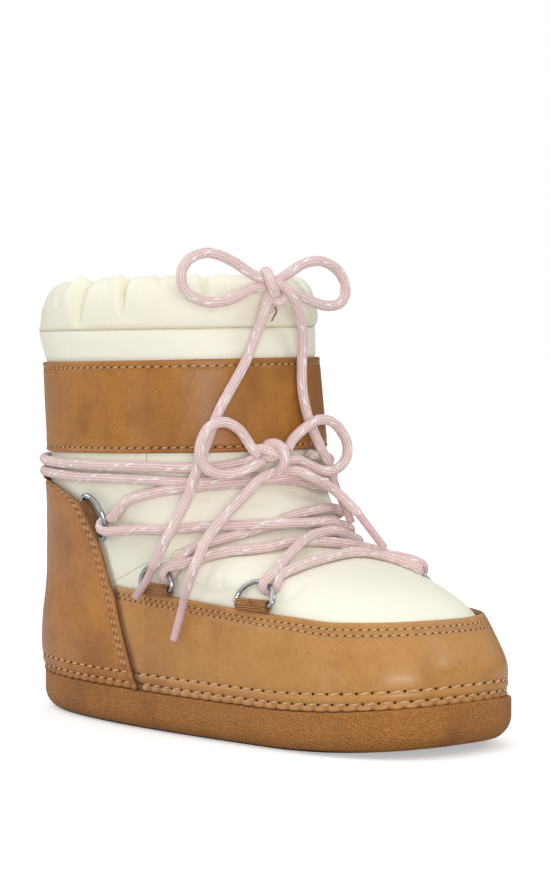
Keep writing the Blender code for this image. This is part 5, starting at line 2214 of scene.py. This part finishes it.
# Start of the drawstring's left end and turns of each knot, to the right, up and to the front of its middle
TAIL_START: Table = ((3.4, 1.0, 2.6), (7.2, -2.4, 1.6), (10.4, -7.0, -1.2), (12.4, -11.2, -4.8))
LACE_KNOT_TURNS: tuple[Table, ...] = (
    ((-7, -1, 2), (-3, -0.5, 3.4), (1, 0, 3.4), (6, 0, 2)),
    ((-10.4, 2.4, 1.5), (-8.6, 3.4, 4.2), (-5, 3.6, 6.2), (-1.6, 2.6, 6.6), (1.2, 1, 5.6), (3, 0, 3.0)),
    ((-4.4, 4.4, 0.5), (-3, 5.8, 3.6), (0, 6.2, 5.8), (3, 4.6, 7.2), (4.7, 1.2, 7.4), (4.4, -3, 6.6),
     (2.4, -6.2, 4.6), (0.2, -7, 1.6)),
)
DRAWSTRING_KNOT_TURNS: tuple[Table, ...] = (
    ((-3.8, 0.2, 1.2), (-1, 0.5, 2.0), (1.5, 0.6, 2.0), (3.8, 0.4, 1.2)),
    ((-4.0, 3.8, -0.5), (-3.0, 5.6, 2.6), (-1.9, 5.4, 5.2), (-1.0, 2.4, 6.6), (0.4, -1.4, 6.6),
     (1.7, -4.2, 4.8), (2.0, -5.2, 1.6)),
    ((0.8, -6.6, -0.5), (2.2, -8.2, 0.6), (4.4, -8.5, 0.8), (6.0, -7.0, 0.0), (6.2, -5.0, -1.0)),
)


@dataclass(frozen=True)
class Lacing:
    """The lace through its rings, its bow, and the drawstring's bow."""

    last: Last
    finishes: Finishes
    rings: dict[tuple[Place, Side], Ring]
    cord: Cord = Cord()
    lift: float = 2.75
    layer: float = 4.7
    ring_grip: float = 5.0
    ring_flat: float = 0.32
    tip_length: float = 23.0
    tip_girth: float = 0.72
    tip_radius: float = 1.92
    tip_sides: int = 24
    tip_parts: int = 20
    # How far the film stands past the cord's end
    tip_past: float = 0.4
    # Where the cord draws in, from the film's start
    tip_fade: Pair = (-1.5, 1.0)
    lace_knot: Point = (24.3, -14.3, 133.4)
    drawstring_knot: Point = (19.4, -11.9, 215.9)
    view_turn: float = 46.0
    knot_share: float = 0.45

    def strand(self, line: Table) -> Array:
        """Points of a strand over the boot."""
        degrees, levels, layers = np.array(line, float).T
        return self.last.skin(np.radians(degrees), levels, self.lift + self.layer * layers)

    def lace_path(self) -> tuple[Array, Array]:
        """The whole lace between the two ends at its knot.

        Returns:
            Points along it, and how it is flattened where it goes round the rings.
        """
        way = [self.strand(WIND_RIGHT[::-1])]
        wires = []
        turns = (
            (Place.HEEL, Side.RIGHT, Pass.UNDER_FIRST, MID_TO_HEEL[::-1]),
            (Place.MID, Side.LEFT, Pass.UNDER_FIRST, TOE_TO_MID[::-1]),
            (Place.TOE, Side.RIGHT, Pass.OVER_FIRST, TOE_BAR),
            (Place.TOE, Side.LEFT, Pass.UNDER_FIRST, TOE_TO_MID_UNDER),
            (Place.MID, Side.RIGHT, Pass.OVER_FIRST, MID_TO_HEEL_UNDER),
            (Place.HEEL, Side.LEFT, Pass.OVER_FIRST, WIND_LEFT),
        )
        for place, side, order, line in turns:
            turn, wire = self.rings[place, side].lace_pass(order)
            wires.append(wire)
            way += [turn, self.strand(line)]
        path = smooth_route(np.vstack(way), self.cord.step)
        press = np.zeros_like(path)
        for wire in wires:
            away = path - wire
            reach = np.linalg.norm(away, axis=1)
            press += away / reach[:, None] * (self.ring_flat * hump(reach, self.ring_grip))[:, None]
        along = unit(np.gradient(path, axis=0))
        press -= along * np.sum(press * along, 1, keepdims=True)
        return path, press

    def free_paths(self) -> dict[str, Array]:
        """Points along each free cord, which starts in its knot.

        Returns:
            The points, by the names of the solids.
        """
        paths = {}
        for name, route in FREE_CORDS.items():
            knot = np.array(self.lace_knot if name.startswith("lace") else self.drawstring_knot)
            points = np.array(route, float)
            if name == "drawstring_end_left":
                points = np.vstack([self.seen_from_front(knot, TAIL_START), points[2:]])
            if name.startswith("drawstring"):
                ends = [0] if "_end_" in name else [0, -1]
                points[ends] = knot + (points[ends] - knot) * self.knot_share
            paths[name] = smooth_route(points, self.cord.step)
        return paths

    def seen_from_front(self, middle: Array | Point, places: Table) -> Array:
        """Points from places to the right, up and towards the front of a middle.

        Args:
            middle: the middle.
            places: the places.

        Returns:
            The points.
        """
        angle = math.radians(self.view_turn)
        right = (math.cos(angle), math.sin(angle), 0.0)
        front = (math.sin(angle), -math.cos(angle), 0.0)
        return np.array(middle) + np.array(places, float) @ np.array((right, (0.0, 0.0, 1.0), front))

    def samples(self) -> Array:
        """Points along all cords, for what they press on."""
        return np.vstack([self.lace_path()[0], *self.free_paths().values()])

    def knot_paths(self, middle: Point, turns: tuple[Table, ...]) -> list[Array]:
        """Paths of a knot's turns, which are seen from the front of its middle."""
        return [smooth_route(self.seen_from_front(middle, turn), self.cord.step) for turn in turns]

    def build_knot(self, name: str, node: str, paths: list[Array]) -> None:
        """Make a knot from its turns of cord.

        Args:
            name: the piece's name.
            node: the solid that it stands for.
            paths: points along each turn.
        """
        whole = bmesh.new()
        for i, path in enumerate(paths):
            mesh = mesh_from(f"{name}_turn_{i}", self.cord.tube(path))
            whole.from_mesh(mesh)
            bpy.data.meshes.remove(mesh)
        add_piece(name, whole, [self.finishes.lace], [node])

    def build_free_cord(self, name: str, path: Array) -> None:
        """Args:
            name: the solid that it stands for.
            path: points along it.
        """
        is_end = "_end_" in name
        girth = None
        tips = []
        if is_end:
            run = run_along(path)
            start = run[-1] - self.tip_length
            fade = (start + step for step in self.tip_fade)
            girth = 1.0 - (1.0 - self.tip_girth) * smoothstep(*fade, run)
            inner = read_at(path, run, np.linspace(start, run[-1] + self.tip_past, self.tip_parts))
            inner[-1] = path[-1] + unit(path[-1] - path[-2]) * self.tip_past
            film = Cord(radius=self.tip_radius, sides=self.tip_sides).tube(inner)
            tips = [add_piece(f"{name}_tip", film, [self.finishes.tip])]
        cord = add_piece(f"{name}_cord", self.cord.tube(path, girth), [self.finishes.lace], [name])

    def build(self) -> None:
        """Make every cord."""
        path, press = self.lace_path()
        lace = self.cord.tube(path, press=press)
        add_piece("wound_lace", lace, [self.finishes.lace], ["lace_crossings"])
        turns = self.knot_paths(self.lace_knot, LACE_KNOT_TURNS)
        self.build_knot("lace_bow_knot", "lace_knot", turns)
        turns = self.knot_paths(self.drawstring_knot, DRAWSTRING_KNOT_TURNS)
        turns.append(smooth_route(DRAWSTRING_LEAD, self.cord.step))
        self.build_knot("drawstring_bow_knot", "drawstring_knot", turns)
        for name, free in self.free_paths().items():
            self.build_free_cord(name, free)


# Floor, light and camera


@dataclass(frozen=True)
class Studio:
    """Pale floor, soft light and the photograph's view."""

    azimuth: float = 46.0
    distance: float = 1560.0
    aim: Pair = (9.5, 0.0)
    eye_height: float = 216.0
    pitch: float = 2.83
    focal_pixels: float = 3220.0
    image_height: float = 885.0
    sensor: float = 36.0
    floor_half: float = 6.0
    # Strength of the sky at the horizon and overhead
    sky: Pair = (0.03, 1.33)
    # Side of the view, height, distance, size and power of each soft light
    lights: Table = ((5.0, 190.0, 1700.0, 900.0, 14.6), (68.0, 1050.0, 1500.0, 380.0, 2.2),
                     (-105.0, 800.0, 1500.0, 900.0, 5.4), (-52.0, 80.0, 1600.0, 700.0, 2.3))
    # Height that the lights point at
    light_aim: float = 110.0
    # Tone of the floor as it is seen, and as it throws light back
    floor_tones: Pair = (0.78, 0.6)
    floor_glow: float = 0.42
    floor_gloss: ClassVar[dict[str, float]] = {
        "Emission Strength": 1.0, "Roughness": 0.9, "Specular IOR Level": 0.1}

    def build_camera(self) -> None:
        """Place the camera."""
        turn = math.radians(self.azimuth)
        camera = bpy.data.cameras.new("photo_view")
        camera.sensor_width = self.sensor
        camera.sensor_fit = "AUTO"
        camera.lens = self.focal_pixels / self.image_height * self.sensor
        camera.clip_end = 50.0
        view = show("photo_view", camera)
        x, y = self.aim
        eye = (x + self.distance * math.sin(turn), y - self.distance * math.cos(turn), self.eye_height)
        view.location = Vector(eye) * MM
        view.rotation_euler = (math.pi / 2 - math.radians(self.pitch), 0.0, turn)
        bpy.context.scene.camera = view

    def build_light(self) -> None:
        """Place the lights round the view, and a white world behind."""
        target = Vector((0.0, 0.0, self.light_aim)) * MM
        for i, (turn, height, distance, size, power) in enumerate(self.lights):
            light = bpy.data.lights.new(f"soft_light_{i}", "AREA")
            light.shape = "DISK"
            light.size = size * MM
            light.energy = power
            lamp = show(f"soft_light_{i}", light)
            angle = math.radians(self.azimuth + turn)
            lamp.location = Vector((distance * math.sin(angle), -distance * math.cos(angle), height)) * MM
            lamp.rotation_euler = (target - lamp.location).to_track_quat("-Z", "Y").to_euler()
        world = bpy.data.worlds.new("white_room")
        world.use_nodes = True
        tree = Tree(world.node_tree)
        seen = tree.node("ShaderNodeLightPath").outputs["Is Camera Ray"]
        height = tree.node("ShaderNodeSeparateXYZ", {0: tree.place("Generated")}).outputs["Z"]
        low, high = self.sky
        sky = tree.node("ShaderNodeMapRange", {"Value": height, "To Min": low, "To Max": high}).outputs[0]
        strength = tree.node("ShaderNodeMapRange", {"Value": seen, "To Min": sky, "To Max": 1.0}).outputs[0]
        white = opaque((1.0, 1.0, 1.0))
        tree.feed(world.node_tree.nodes["Background"], {"Strength": strength, "Color": white})
        bpy.context.scene.world = world
        bpy.context.scene.view_settings.view_transform = "Standard"

    def build_floor(self) -> None:
        """Lay the floor."""
        bm = bmesh.new()
        bmesh.ops.create_grid(bm, x_segments=1, y_segments=1, size=self.floor_half)
        mesh = mesh_from("pale_floor", bm)
        material = bpy.data.materials.new("pale_floor")
        material.use_nodes = True
        tree = Tree(material.node_tree)
        seen = tree.node("ShaderNodeLightPath").outputs["Is Camera Ray"]
        bright, dull, glow, dark = (opaque((tone,) * 3) for tone in (*self.floor_tones, self.floor_glow, 0.0))
        tree.feed(material.node_tree.nodes["Principled BSDF"], {
            "Base Color": tree.mix(seen, dull, bright), "Emission Color": tree.mix(seen, dark, glow),
            **self.floor_gloss})
        mesh.materials.append(material)
        show("pale_floor", mesh)

    def build(self) -> None:
        """Set the whole studio."""
        self.build_camera()
        self.build_light()
        self.build_floor()


def main() -> None:
    """Build the studio and dress the boot, piece by piece."""
    logging.basicConfig(level=logging.INFO, format="%(message)s")
    Studio().build()
    finishes = make_finishes()
    last = Last()
    rings = {(place, side): Ring(last, finishes, place, side) for place in Place for side in Side}
    lacing = Lacing(last, finishes, rings)
    lacing.build()
    cords = lacing.samples()
    Sole(last, finishes).build()
    wires = np.vstack([ring.wire_path() for ring in rings.values()])
    Upper(last, finishes, cords, wires).build()
    Cuff(last, finishes).build()
    stitching = Stitching(finishes)
    Overlays(last, finishes, stitching).build()
    stitching.build()
    for ring in rings.values():
        ring.build()


if __name__ == "__main__":
    main()
